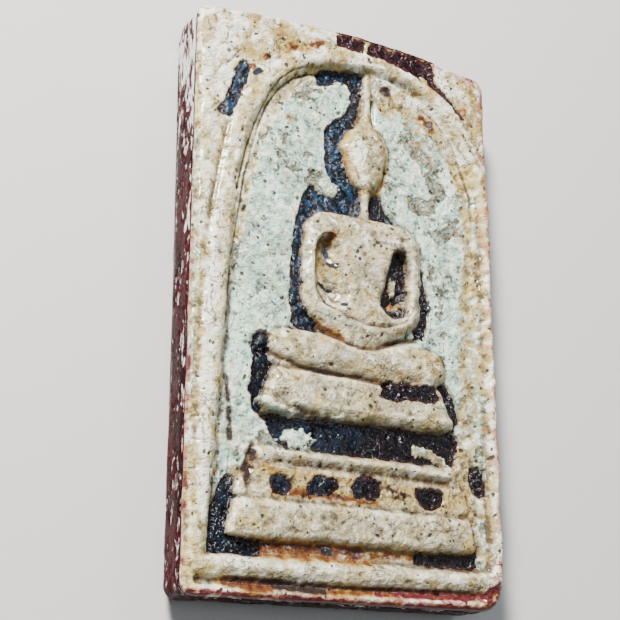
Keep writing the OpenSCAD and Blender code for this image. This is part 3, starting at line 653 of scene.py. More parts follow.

# A golden or olive tint, with painted shade round the head's edges and beside the chest
olive_and_shade = (
    1.0 * stroke(GROOVE_LINE, 0.34)
    # painted shade beside the chest
    + 0.6 * stroke([(-0.5, 4.3), (-0.15, 3.1), (0.0, 2.3)], 0.4)
    + 0.7 * stroke([(7.9, 14.9), (9.2, 12.7), (10.1, 9.9), (10.4, 5.0)], 0.5)
    + 0.8 * spot(4.6, 16.2, 0.9, 1.6, -25)
    + 0.7 * spot(-6.8, 13.5, 0.7, 1.6, 60)
    + 1.6 * spot(10.6, 16.4, 0.9, 1.5, -60)
    + 1.1 * stroke([(10.55, 12.6), (11.15, 9.0), (11.4, 6.4)], 0.3)
    + 1.2 * stroke([(10.9, 5.6), (10.95, 2.2)], 0.34)
    + 1.0 * stroke([(11.0, -1.0), (10.9, -5.2)], 0.4)
    + 1.1 * spot(-8.2, 18.4, 0.4, 2.0, 60)
    + 1.2 * spot(-5.0, 18.6, 0.8, 2.0, 30)
    + 1.0 * stroke([(-11.5, 13.0), (-10.7, 14.6)], 0.35)
    + 0.8 * spot(-6.4, 19.2, 0.9, 1.2)
    + 0.6 * stroke([(-8.9, 10.6), (-7.8, 14.6), (-7.2, 16.4)], 0.4)
    # painted shade round the head's edges
    + 1.0 * stroke([(1.2, 14.0), (0.0, 12.9), (-0.4, 11.0), (0.1, 9.2), (1.2, 8.3), (2.3, 8.6)], 0.55)
    + 0.9 * stroke([(1.5, 14.2), (2.4, 12.9), (3.0, 11.2), (2.9, 9.4)], 0.5)
    + 0.7 * stroke([(1.75, 17.2), (1.75, 14.4)], 0.5)
    + 0.7 * spot(3.4, 16.1, 1.0, 1.4, -25)
    + 1.5 * stroke([(-6.6, -12.7), (-2.0, -12.9), (3.0, -13.0), (8.2, -13.3)], 0.75)
    + 0.5 * stroke(WAIST_LIP, 0.4)
    + 0.5 * spot(-8.6, -11.0, 1.2, 1.4)
    + 0.6 * spot(6.8, -4.2, 1.1, 1.3)
    + 0.7 * stroke([(8.9, -9.0), (9.3, -13.0), (9.4, -17.0)], 0.9)
    + 0.6 * stroke([(9.9, 4.0), (9.7, -2.0), (9.3, -8.0)], 0.6)
    + 0.6 * stroke([(-5.0, -13.4), (2.0, -13.5), (7.5, -13.6)], 0.4)
    + 0.5 * spot(1.3, -4.8, 0.6, 3.0, -3)
    + 0.5 * spot(0.5, -8.0, 0.5, 4.0, -3)
    + 0.6 * spot(-9.5, -18.8, 0.7, 1.5)
)
olive_and_shade += 0.65 * off_field * ramp(weather, 0.05, 0.6)
olive_and_shade = olive_and_shade * np.clip(0.8 + 0.9 * noise(1.3, 83, 3, 0.6), 0, 1.4)

# The right edge and the top are blotched, partly bleached and partly stained
granular = 1.1 * ramp(GX, 9.8, 10.8) * noise(0.75, 97, 3, 0.65)
granular += 1.3 * ramp(GY, 15.5, 17.5) * noise(1.7, 98, 3, 0.6)
olive_and_shade += 1.8 * np.clip(granular, 0, 1)
bleached_and_highlit += 1.4 * np.clip(-granular, 0, 1)
stain_and_shade += 0.2 * np.clip(granular - 0.3, 0, 1)
grime_and_shade += 0.35 * np.clip(granular - 0.45, 0, 1)

# Places off the field that keep its pale green
keeps_green = (
    0.75 * stroke([(-11.9, 10.0), (-11.87, 2.0), (-11.87, -10.0)], 0.22)
    + 0.8 * spot(-9.9, 8.6, 0.5, 2.4, 82)
    + 0.55 * stroke([(-3.3, 4.4), (-3.4, 0.6), (-2.4, -1.1), (0.2, -2.0)], 0.35)
    + 0.5 * stroke([(5.6, 3.4), (5.6, 0.2)], 0.3)
    + 0.5 * spot(-5.6, -7.2, 0.8, 1.6, -20)
    + 0.9 * spot(8.3, 17.8, 0.9, 1.5, -10)
    + 0.7 * spot(-6.2, -12.9, 0.35, 1.8, 80)
    + 0.6 * spot(-8.6, -9.9, 0.7, 1.3)
)
keeps_green = keeps_green * np.clip(0.9 + 0.8 * noise(0.9, 84, 3, 0.6), 0, 1.4)

# Small specks of the dark lacquer left on the cast
ink = (
    1.2 * spot(-7.55, 15.55, 0.34, 1.4, 20)
    + 1.0 * stroke([(-1.75, 3.5), (-1.5, 2.9), (-1.4, 2.4)], 0.2)
    + 0.9 * spot(-1.1, 2.3, 0.22)
    + 1.0 * stroke([(-2.25, 0.95), (-1.8, 0.75), (-1.35, 0.55)], 0.2)
    + 0.9 * spot(-2.0, -0.4, 0.2, 1.6)
    + 0.9 * spot(-0.6, -0.45, 0.2, 1.8)
    + 1.0 * spot(-2.1, -10.6, 0.38, 1.7)
    + 0.9 * spot(-3.1, -19.85, 0.22, 1.6)
    + 0.9 * spot(-1.9, -17.2, 0.3, 1.3)
    + 1.0 * spot(6.7, 0.6, 0.24, 1.5, 80)
    + 0.9 * stroke([(8.0, -5.4), (8.3, -6.6), (8.4, -8.2)], 0.16)
    + 0.9 * spot(7.1, -9.0, 0.2, 1.5)
    + 0.8 * spot(9.2, -17.2, 0.3, 1.6)
)
ink = ink + 0.5 * noise(0.42, 95, 3, 0.65) * ramp(ink, 0.05, 0.3)
tablet_face += 0.05 * ramp(ink, 0.4, 0.7) + 0.02 * ramp(ink, 0.4, 0.7) * noise(0.3, 96, 2)

# Outlines and meshes


def outline(inset, wear, x_cells, y_cells):
    """The tablet's outline, anticlockwise from the middle of its lower left corner, its sides cut evenly."""
    x = HALF_W - CORNER_R - wear
    y = HALF_L - CORNER_R
    top_x = x + 0.7 * wear
    swell = TOP_SWELL + wear
    r = CORNER_R - inset
    chip_r = r + CORNER_CHIP
    low = wear - y

    def arc(cx, cy, radius, start, stop):
        turns = np.radians(np.linspace(start, stop, 24))
        return np.stack([cx + radius * np.cos(turns), cy + radius * np.sin(turns)], 1)

    chip = (x - CORNER_CHIP, low + CORNER_CHIP)
    s = np.linspace(0.96, -0.96, 40)
    top = np.stack([s * top_x, y + r - swell * s * s], 1)
    sides = [
        np.vstack([arc(-x, low, r, 225, 270), arc(*chip, chip_r, 270, 315)]),
        np.vstack([arc(*chip, chip_r, 315, 360), arc(top_x, y - swell, r, 0, 45)]),
        np.vstack([arc(top_x, y - swell, r, 45, 84), top, arc(-top_x, y - swell, r, 96, 135)]),
        np.vstack([arc(-top_x, y - swell, r, 135, 180), arc(-x, low, r, 180, 225)]),
    ]
    points = []
    for side, cells in zip(sides, (x_cells, y_cells, x_cells, y_cells)):
        along = np.concatenate([[0], np.cumsum(np.hypot(*np.diff(side, axis=0).T))])
        at = np.linspace(0, along[-1], cells + 1)[:-1]
        points.append(np.stack([np.interp(at, along, side[:, 0]), np.interp(at, along, side[:, 1])], 1))
    return np.vstack(points)


def spread_grid(ring, x_cells, y_cells):
    """A grid of places inside a ring of outline points, evenly spread from its four sides."""
    corner = [0, x_cells, x_cells + y_cells, 2 * x_cells + y_cells]
    loop = np.vstack([ring, ring[:1]])
    bottom = loop[: x_cells + 1]
    right = loop[corner[1] : corner[2] + 1]
    top = loop[corner[2] : corner[3] + 1][::-1]
    left = loop[corner[3] :][::-1]
    u = np.linspace(0, 1, x_cells + 1)[None, :, None]
    v = np.linspace(0, 1, y_cells + 1)[:, None, None]
    grid = (1 - v) * bottom[None] + v * top[None] + (1 - u) * left[:, None] + u * right[:, None]
    grid -= (1 - u) * (1 - v) * bottom[0] + u * (1 - v) * bottom[-1] + (1 - u) * v * top[0] + u * v * top[-1]
    return grid


def grid_border(x_cells, y_cells):
    """The numbers of a grid's border points, in the order of its ring."""
    row = x_cells + 1
    bottom = [k for k in range(x_cells)]
    right = [x_cells + k * row for k in range(y_cells)]
    top = [y_cells * row + x_cells - k for k in range(x_cells)]
    left = [(y_cells - k) * row for k in range(y_cells)]
    return np.array(bottom + right + top + left)


def grid_faces(x_cells, y_cells):
    """The four-sided faces of a grid of points, numbered row by row."""
    row = x_cells + 1
    j, i = np.mgrid[0:y_cells, 0:x_cells]
    a = (j * row + i).ravel()
    return np.stack([a, a + 1, a + row + 1, a + row], 1)


def belt_faces(upper, lower):
    """Faces of an outward belt between two anticlockwise rings of point numbers."""
    return np.stack([lower, np.roll(lower, -1), np.roll(upper, -1), upper], 1)


def make_mesh(name, points, faces, values=None):
    """A smooth mesh object from points in millimetres, with any values that its material reads."""
    mesh = bpy.data.meshes.new(name)
    mesh.from_pydata((np.asarray(points) * MM).tolist(), [], [tuple(int(i) for i in f) for f in faces])
    mesh.polygons.foreach_set("use_smooth", [True] * len(mesh.polygons))
    for key, data in (values or {}).items():
        layer = mesh.attributes.new(key, "FLOAT", "POINT")
        layer.data.foreach_set("value", np.asarray(data, dtype=np.float32))
    mesh.update()
    piece = bpy.data.objects.new(name, mesh)
    bpy.context.scene.collection.objects.link(piece)
    return piece


def inset_of(z, low):
    """How far the back's rounding takes the side in, at a height above its lowest point."""
    t = np.clip((z - low) / EDGE_R, 0, 1)
    return EDGE_R * (1 - math.sqrt(1 - (1 - t) ** 2))


def wear_of(z, low):
    """How much the worn back draws the outline's straight sides in, at a height above its lowest point."""
    t = np.clip((z - low) / (EDGE_R + 1.2 * BACK_WEAR), 0, 1)
    return BACK_WEAR * (1 - t) ** 1.3


# The plaster tablet

X_CELLS = 218
Y_CELLS = 372
RIM_INSET = 0.07
UNDER_RIM = 0.075
border = grid_border(X_CELLS, Y_CELLS)
rim = outline(RIM_INSET, 0, X_CELLS, Y_CELLS)
grid = spread_grid(rim, X_CELLS, Y_CELLS)
gx = grid[..., 0].ravel()
gy = grid[..., 1].ravel()


def distance_to_rim(x, y):
    """How far a place on the face lies from the tablet's rim."""
    loop = np.vstack([rim, rim[:1]])[::3]
    best = np.full(x.shape, FAR)
    near = (np.abs(x) > HALF_W - 1.6) | (np.abs(y) > HALF_L - 3.0)
    for a, b in zip(loop[:-1], loop[1:]):
        d = b - a
        t = np.clip(((x[near] - a[0]) * d[0] + (y[near] - a[1]) * d[1]) / (d @ d), 0, 1)
        best[near] = np.minimum(best[near], np.hypot(x[near] - a[0] - t * d[0], y[near] - a[1] - t * d[1]))
    return best


# The face's edge is rounded off, most at the lower right corner, and its height is eased below a limit
to_rim = distance_to_rim(gx, gy)
worn_corner = np.exp(-((gx - 10.6) ** 2 + (gy + 19.2) ** 2) / 2.0)
round_r = np.clip(0.38 + 0.16 * ripple(gx, gy, 1.9, 81, 3) + 0.25 * worn_corner, 0.2, 0.8)
drop = np.where(to_rim < round_r, round_r - np.sqrt(np.maximum(round_r**2 - (round_r - to_rim) ** 2, 0)), 0)
gz = read_raster(tablet_face, gx, gy) - drop
gz = np.where(gz > TOP_LIMIT, TOP_LIMIT + TOP_EASE * np.tanh((gz - TOP_LIMIT) / TOP_EASE), gz)
top_points = np.stack([gx, gy, gz], 1)

# Rings down the sides: the first just under the rim, the lower ones drawn in where the back is rounded
first_ring = outline(UNDER_RIM, 0, X_CELLS, Y_CELLS)
rings = [np.column_stack([first_ring, np.minimum(gz[border] - 0.03, COAT_TOP)])]
for z, inset in (
    (3.86, 0.10), (3.7, 0.13), (3.0, PLASTER_INSET),
    (1.6, None), (0.6, None), (0.3, None), (PLASTER_BACK, None),
):
    if inset is None:
        inset = PLASTER_INSET + inset_of(z, PLASTER_INSET)
    ring = outline(inset, wear_of(z, PLASTER_INSET), X_CELLS, Y_CELLS)
    rings.append(np.column_stack([ring, np.full(len(ring), z)]))
count = len(top_points)
size = len(border)
faces = [grid_faces(X_CELLS, Y_CELLS)]
upper = border
for k in range(len(rings)):
    lower = count + k * size + np.arange(size)
    faces.append(belt_faces(upper, lower))
    upper = lower
centre = count + len(rings) * size
points = np.vstack([top_points] + rings + [[[0, 0, PLASTER_BACK]]])
fan = np.stack([np.full(size, centre), np.roll(upper, -1), upper], 1)
faces = [tuple(f) for part in faces for f in part] + [tuple(f) for f in fan]


def on_face(field, rest):
    """A raster's values at the face's points, and one value for the sides and the back."""
    return np.concatenate([read_raster(field, gx, gy), np.full(len(points) - count, rest)])


# Red washed over the edges from the sides, and the other values that the plaster's material reads
right_wash = ramp(GX, 10.6, 12.0) + 0.8 * ramp(-GY, 19.6, 20.5)
right_wash = right_wash + 0.8 * ramp(GY, 18.4, 19.6) * ramp(GX, 1.0, 6.0)
right_wash = np.clip(right_wash, 0, 1) * (0.55 + 0.6 * noise(1.2, 91, 3))
corner_red = 1.3 * stroke([(1.8, -19.75), (6.0, -19.75), (8.5, -19.75), (10.2, -19.55), (11.4, -18.9)], 0.3)
corner_red += 1.2 * spot(11.0, -19.9, 0.8)
corner_red += 0.8 * stroke([(-11.6, -20.3), (0.0, -20.5), (11.0, -20.4)], 0.18)
right_wash = np.clip(right_wash, 0, 1) + 1.4 * corner_red * (0.8 + 0.6 * noise(0.7, 92, 3))
# Painted light: the plaster is creamier towards the lit left side and warmer towards the right
painted_light_side = ramp(-GX, -4.0, 12.0)
figure = inside_arch * ramp(pressed, FIELD_Z + 0.12, FIELD_Z + 0.3)
figure = blur(figure * (np.abs(GX - CAST_X) < 8.9), 0.1) * (1 - 0.5 * spot(1.0, 11.2, 2.0, 1.4, 95))
red_rim = ramp(-to_rim, -0.30, -0.06) * (0.75 + 0.5 * (gy < -19.5) - 0.35 * ((gx < -11) & (gy > 4)))
red_rim *= np.clip(0.75 + 1.2 * ripple(gx, gy, 1.1, 93, 3), 0, 1.4)
red_rim = np.concatenate([red_rim, np.full(len(points) - count, 1.3)])
tablet = make_mesh("tablet", points, faces, {
    "crust": on_face(crust, 0.3),
    "hollow_edge": on_face(hollow_distance, -2.0),
    "stain_and_shade": on_face(np.clip(stain_and_shade, 0, 1.5), 0.0),
    "grime_and_shade": on_face(np.clip(grime_and_shade, 0, 1.5), 0.0),
    "field": on_face(np.maximum(field_share, keeps_green), 0.0),
    "olive_and_shade": on_face(olive_and_shade, 0.3),
    "figure": on_face(figure, 0.0),
    "pink_wash": np.maximum(on_face(np.clip(right_wash, 0, 2), 0.4), red_rim),
    "ink": on_face(ink, 0.0),
    "lit_side_cream": on_face(painted_light_side, 0.5),
    "crease_shade": on_face(crease_shade, 0.0),
    "dip_shade": on_face(dip_shade, 0.0),
    "bleached_and_highlit": on_face(np.clip(bleached_and_highlit, 0, 1.2), 0.2),
    "pits": on_face(pits, 0.0),
})

# Lacquer left in the hollows


def lacquer_piece(name):
    """One patch of lacquer: a thin closed skin in its hollow that runs on a little under the crust."""
    grown = lacquer_reach[name] + UNDER_CRUST
    cover = grown > -0.03
    cells = cover[:-1, :-1] & cover[1:, :-1] & cover[:-1, 1:] & cover[1:, 1:]
    number = np.full(GX.shape, -1)
    used = np.zeros(GX.shape, bool)
    for dj in (0, 1):
        for di in (0, 1):
            used[dj : dj + cells.shape[0], di : di + cells.shape[1]] |= cells
    number[used] = np.arange(used.sum())
    j, i = np.nonzero(cells)
    top = np.stack([number[j, i], number[j, i + 1], number[j + 1, i + 1], number[j + 1, i]], 1)
    edges = np.vstack([top[:, [k, (k + 1) % 4]] for k in range(4)])
    keys = {(a, b) for a, b in edges.tolist()}
    rim_edges = [(a, b) for a, b in keys if (b, a) not in keys]
    slope_y, slope_x = np.gradient(grown, PITCH)
    steep = np.maximum(slope_x**2 + slope_y**2, 0.2)
    on_rim = np.zeros(used.sum(), bool)
    on_rim[[a for a, b in rim_edges]] = True
    shift = np.where(on_rim, np.clip(-grown[used] / np.sqrt(steep[used]), -0.9 * PITCH, 0.9 * PITCH), 0)
    x = GX[used] + shift * slope_x[used] / np.sqrt(steep[used])
    y = GY[used] + shift * slope_y[used] / np.sqrt(steep[used])
    under = ramp(-hollow_distance[used], 0.0, 0.1)
    z = np.minimum(lacquer_top[used], tablet_face[used] + FLAKE_DEPTH * hollow[used] - 0.05)
    z = z + under * (np.minimum(z, face[used] - 0.09) - z)
    upper_points = np.stack([x, y, z], 1)
    lower_points = upper_points - [0, 0, LACQUER_T]
    total = used.sum()
    skin = [tuple(f) for f in top.tolist()]
    skin += [tuple(k + total for k in reversed(f)) for f in top.tolist()]
    skin += [(b, a, a + total, b + total) for a, b in rim_edges]
    thin = 1 - ramp(hollow_distance[used], 0.02, 0.45)
    # Painted shade where the lacquer lies low beside raised work
    sunk_shade = np.clip(crease_shade[used], 0, 1.5)
    values = {"thin": np.tile(thin, 2), "crease_shade": np.tile(sunk_shade, 2)}
    return make_mesh(name, np.vstack([upper_points, lower_points]), skin, values)


lacquers = {name: lacquer_piece(name) for name in LACQUER_NODES}

# The red coat on the sides and back

BACK_X = 100
BACK_Y = 180
around = outline(0, 0, 2 * BACK_X, 2 * BACK_Y)
arc_length = np.concatenate([[0], np.cumsum(np.hypot(*np.diff(around, axis=0).T))])
girth = len(around)


def side_noise(z, size, seed, octaves=1, gain=0.5, stretch=2.2):
    """Noise on the sides, drawn out along them."""
    return ripple(arc_length / stretch, np.full(girth, z), size, seed, octaves, gain)


# The coat ends in a ragged lip, and its upper rings lean to follow it
lip_z = COAT_TOP - 0.10 + 0.13 * side_noise(0.0, 0.9, 101, 3)
lip_z = lip_z - 0.10 * ramp(side_noise(5.0, 1.4, 102, 2), 0.15, 0.6)
coat_rings = []
worn_values = []
levels = [0.0, 0.03, 0.09, 0.17, 0.28, 0.45] + list(np.linspace(0.62, 3.55, 20)) + [3.66, 3.76, 3.85, 3.92]
for z in levels:
    height = np.full(girth, z)
    if z > LIP_START:
        height = LIP_START + (z - LIP_START) / LIP_RUN * (lip_z - LIP_START)
    worn = 0.34 * side_noise(z, 1.2, 103, 3) + 0.25 * side_noise(z, 0.3, 104, 2) - 0.07
    worn += (
        0.45 * ramp(around[:, 1], 7.0, 15.0) * (around[:, 0] < -11)
        + 0.35 * ramp(height, 3.0, 3.8)
        - 0.3 * ramp(-height, -1.2, 0)
    )
    dent = 0.035 + 0.03 * side_noise(z, 0.8, 105, 2) + 0.05 * ramp(worn, 0.0, 0.12)
    dent = np.clip(dent, 0, 0.13) * ramp(height, 0.0, 0.5)
    thin = 0.06 * ramp(height, LIP_START, 3.95)
    ring = outline(inset_of(z, 0), wear_of(z, 0), 2 * BACK_X, 2 * BACK_Y)
    step = np.roll(ring, -1, 0) - np.roll(ring, 1, 0)
    normal = np.stack([step[:, 1], -step[:, 0]], 1) / np.hypot(*step.T)[:, None]
    ring = ring - normal * (dent + thin)[:, None]
    coat_rings.append(np.column_stack([ring, height]))
    worn_values.append(worn)
inner = [np.column_stack([outline(0.085, 0, 2 * BACK_X, 2 * BACK_Y), lip_z - 0.02])]
for z, inset in (
    (3.6, 0.125), (3.0, 0.205), (1.8, 0.205),
    (0.9, None), (0.5, None), (0.3, None), (COAT_T, None),
):
    if inset is None:
        inset = COAT_T + inset_of(z, COAT_T)
    ring = outline(inset, wear_of(z, COAT_T), 2 * BACK_X, 2 * BACK_Y)
    inner.append(np.column_stack([ring, np.full(girth, z)]))

# The back rests on its rim and is slightly dented inside it
back_ring = outline(EDGE_R + 0.12, BACK_WEAR, BACK_X, BACK_Y)
back_grid = spread_grid(back_ring, BACK_X, BACK_Y)
bx = back_grid[..., 0].ravel()
by = back_grid[..., 1].ravel()
back_dents = np.clip(0.05 * ripple(bx, by, 3.0, 106, 3) + 0.02 * ripple(bx, by, 0.9, 107, 2), 0, 0.1)
back_points = np.stack([bx, by, back_dents], 1)
back_border = grid_border(BACK_X, BACK_Y)
back_points[back_border, 2] = 0
worn_back = 0.5 * ripple(bx, by, 2.0, 108, 4) - 0.25

coat_points = np.vstack(coat_rings + inner + [back_points, [[0, 0, COAT_T]]])
coat_faces = []
ring_count = len(coat_rings) + len(inner)
numbers = [k * girth + np.arange(girth) for k in range(ring_count)]
for lower, upper in zip(numbers[:-1], numbers[1:]):
    coat_faces += [tuple(f) for f in belt_faces(upper, lower)]
first_back = ring_count * girth
last_point = len(coat_points) - 1
coat_faces += [(last_point, a, b) for a, b in zip(numbers[-1], np.roll(numbers[-1], -1))]
coat_faces += [tuple(first_back + k for k in reversed(f)) for f in grid_faces(BACK_X, BACK_Y).tolist()]
near = first_back + back_border
for k in range(len(near)):
    # The coat's first ring has two points for each one of the back's border
    a = numbers[0][2 * k]
    b = numbers[0][(2 * k + 1) % girth]
    c = numbers[0][(2 * k + 2) % girth]
    p = near[k]
    q = near[(k + 1) % len(near)]
    coat_faces += [(a, p, b), (p, q, b), (q, c, b)]
worn_all = np.concatenate(worn_values + [np.full(len(inner) * girth, -1.0), worn_back, [-1.0]])
coat = make_mesh("lacquer_coat", coat_points, coat_faces, {"worn": worn_all})

# Materials


class Shader:
    """Short calls for the nodes of one material or group."""

    def __init__(self, tree):
        self.tree = tree

    def add(self, kind, inputs=None, **settings):
        node = self.tree.nodes.new(kind)
        for key, value in settings.items():
            setattr(node, key, value)
        for key, value in (inputs or {}).items():
            if isinstance(value, bpy.types.NodeSocket):
                self.tree.links.new(value, node.inputs[key])
            else:
                node.inputs[key].default_value = value
        return node

    def value(self, name):
        return self.add("ShaderNodeAttribute", attribute_name=name).outputs["Fac"]

    def maths(self, operation, a, b=0.0, c=0.0):
        return self.add("ShaderNodeMath", {0: a, 1: b, 2: c}, operation=operation).outputs[0]

    def times(self, a, b):
        return self.maths("MULTIPLY", a, b)

    def times_plus(self, a, b, c):
        return self.maths("MULTIPLY_ADD", a, b, c)

    def step(self, value, low, high, start=0.0, stop=1.0):
        inputs = {"Value": value, "From Min": low, "From Max": high, "To Min": start, "To Max": stop}
        return self.add("ShaderNodeMapRange", inputs, interpolation_type="SMOOTHSTEP").outputs["Result"]

    def mix(self, share, a, b):
        node = self.add("ShaderNodeMix", {"Factor": share}, data_type="RGBA")
        for socket, colour in (("A", a), ("B", b)):
            target = [s for s in node.inputs if s.name == socket and s.type == "RGBA"][0]
            if isinstance(colour, bpy.types.NodeSocket):
                self.tree.links.new(colour, target)
            else:
                target.default_value = (*colour, 1.0)
        return [s for s in node.outputs if s.type == "RGBA"][0]

    def noise(self, vector, scale, detail=4.0, rough=0.55, distortion=0.0):
        inputs = {
            "Vector": vector,
            "Scale": scale,
            "Detail": detail,
            "Roughness": rough,
            "Distortion": distortion,
        }
        return self.add("ShaderNodeTexNoise", inputs).outputs["Fac"]

    def bump(self, height, distance):
        inputs = {"Height": height, "Strength": 1.0, "Distance": distance}
        return self.add("ShaderNodeBump", inputs).outputs["Normal"]

    def object_place(self):
        return self.add("ShaderNodeTexCoord").outputs["Object"]


def new_group(name, inputs, outputs):
    """A shader node group with named inputs and outputs, and the ends of its nodes."""
    tree = bpy.data.node_groups.new(name, "ShaderNodeTree")
    for label, kind, value in inputs:
        socket = tree.interface.new_socket(label, in_out="INPUT", socket_type=kind)
        if value is not None:
            socket.default_value = value
    for label, kind in outputs:
        tree.interface.new_socket(label, in_out="OUTPUT", socket_type=kind)
    given = tree.nodes.new("NodeGroupInput").outputs
    out = tree.nodes.new("NodeGroupOutput").inputs
    return tree, Shader(tree), given, out


def pits_group():
    """A mask of small round pits of uneven size."""
    tree, s, given, out = new_group(
        "pits",
        [
            ("Vector", "NodeSocketVector", None),
            ("Per metre", "NodeSocketFloat", 1000.0),
            ("Largest", "NodeSocketFloat", 0.2),
            ("Share", "NodeSocketFloat", 0.4),
        ],
        [("Mask", "NodeSocketFloat")],
    )
    wobble = s.add("ShaderNodeTexNoise", {"Vector": given["Vector"], "Scale": 6500.0, "Detail": 2.0})
    wobble = wobble.outputs["Color"]
    moved = s.add("ShaderNodeVectorMath", {0: wobble, "Scale": 0.00016}, operation="SCALE").outputs[0]
    moved = s.add("ShaderNodeVectorMath", {0: given["Vector"], 1: moved}, operation="ADD").outputs[0]
    cell = s.add("ShaderNodeTexVoronoi", {"Vector": moved, "Scale": given["Per metre"], "Randomness": 1.0})
    spread = s.add("ShaderNodeSeparateColor", {"Color": cell.outputs["Color"]})
    keep = s.maths("LESS_THAN", spread.outputs["Red"], given["Share"])
    size = s.maths("ADD", s.times(spread.outputs["Green"], 0.75), 0.25)
    size = s.times(given["Largest"], size)
    size = s.times(size, keep)
    edge = s.maths("SUBTRACT", size, cell.outputs["Distance"])
    tree.links.new(s.step(edge, -0.02, 0.05), out["Mask"])
    return tree


def grain_group():
    """Fine grain of a worked surface: a value about one half."""
    tree, s, given, out = new_group(
        "grain",
        [("Vector", "NodeSocketVector", None), ("Per metre", "NodeSocketFloat", 3000.0)],
        [("Value", "NodeSocketFloat")],
    )
    fine = s.noise(given["Vector"], given["Per metre"], 5.0, 0.6)
    coarse = s.noise(given["Vector"], s.times(given["Per metre"], 0.23), 3.0, 0.5)
    tree.links.new(s.times_plus(fine, 0.6, s.times(coarse, 0.4)), out["Value"])
    return tree


PITS = pits_group()
GRAIN = grain_group()


def new_material(name):
    """A material, the short calls for its nodes, and its surface shader."""
    material = bpy.data.materials.new(name)
    material.use_nodes = True
    shader = Shader(material.node_tree)
    return material, shader, material.node_tree.nodes["Principled BSDF"]


def placed(shader, group, **inputs):
    """Places a shared group in a material with its own values, and gives the group's outputs."""
    node = shader.add("ShaderNodeGroup", node_tree=group)
    for key, value in inputs.items():
        socket = node.inputs[key.replace("_", " ")]
        if isinstance(value, bpy.types.NodeSocket):
            shader.tree.links.new(value, socket)
        else:
            socket.default_value = value
    return node.outputs


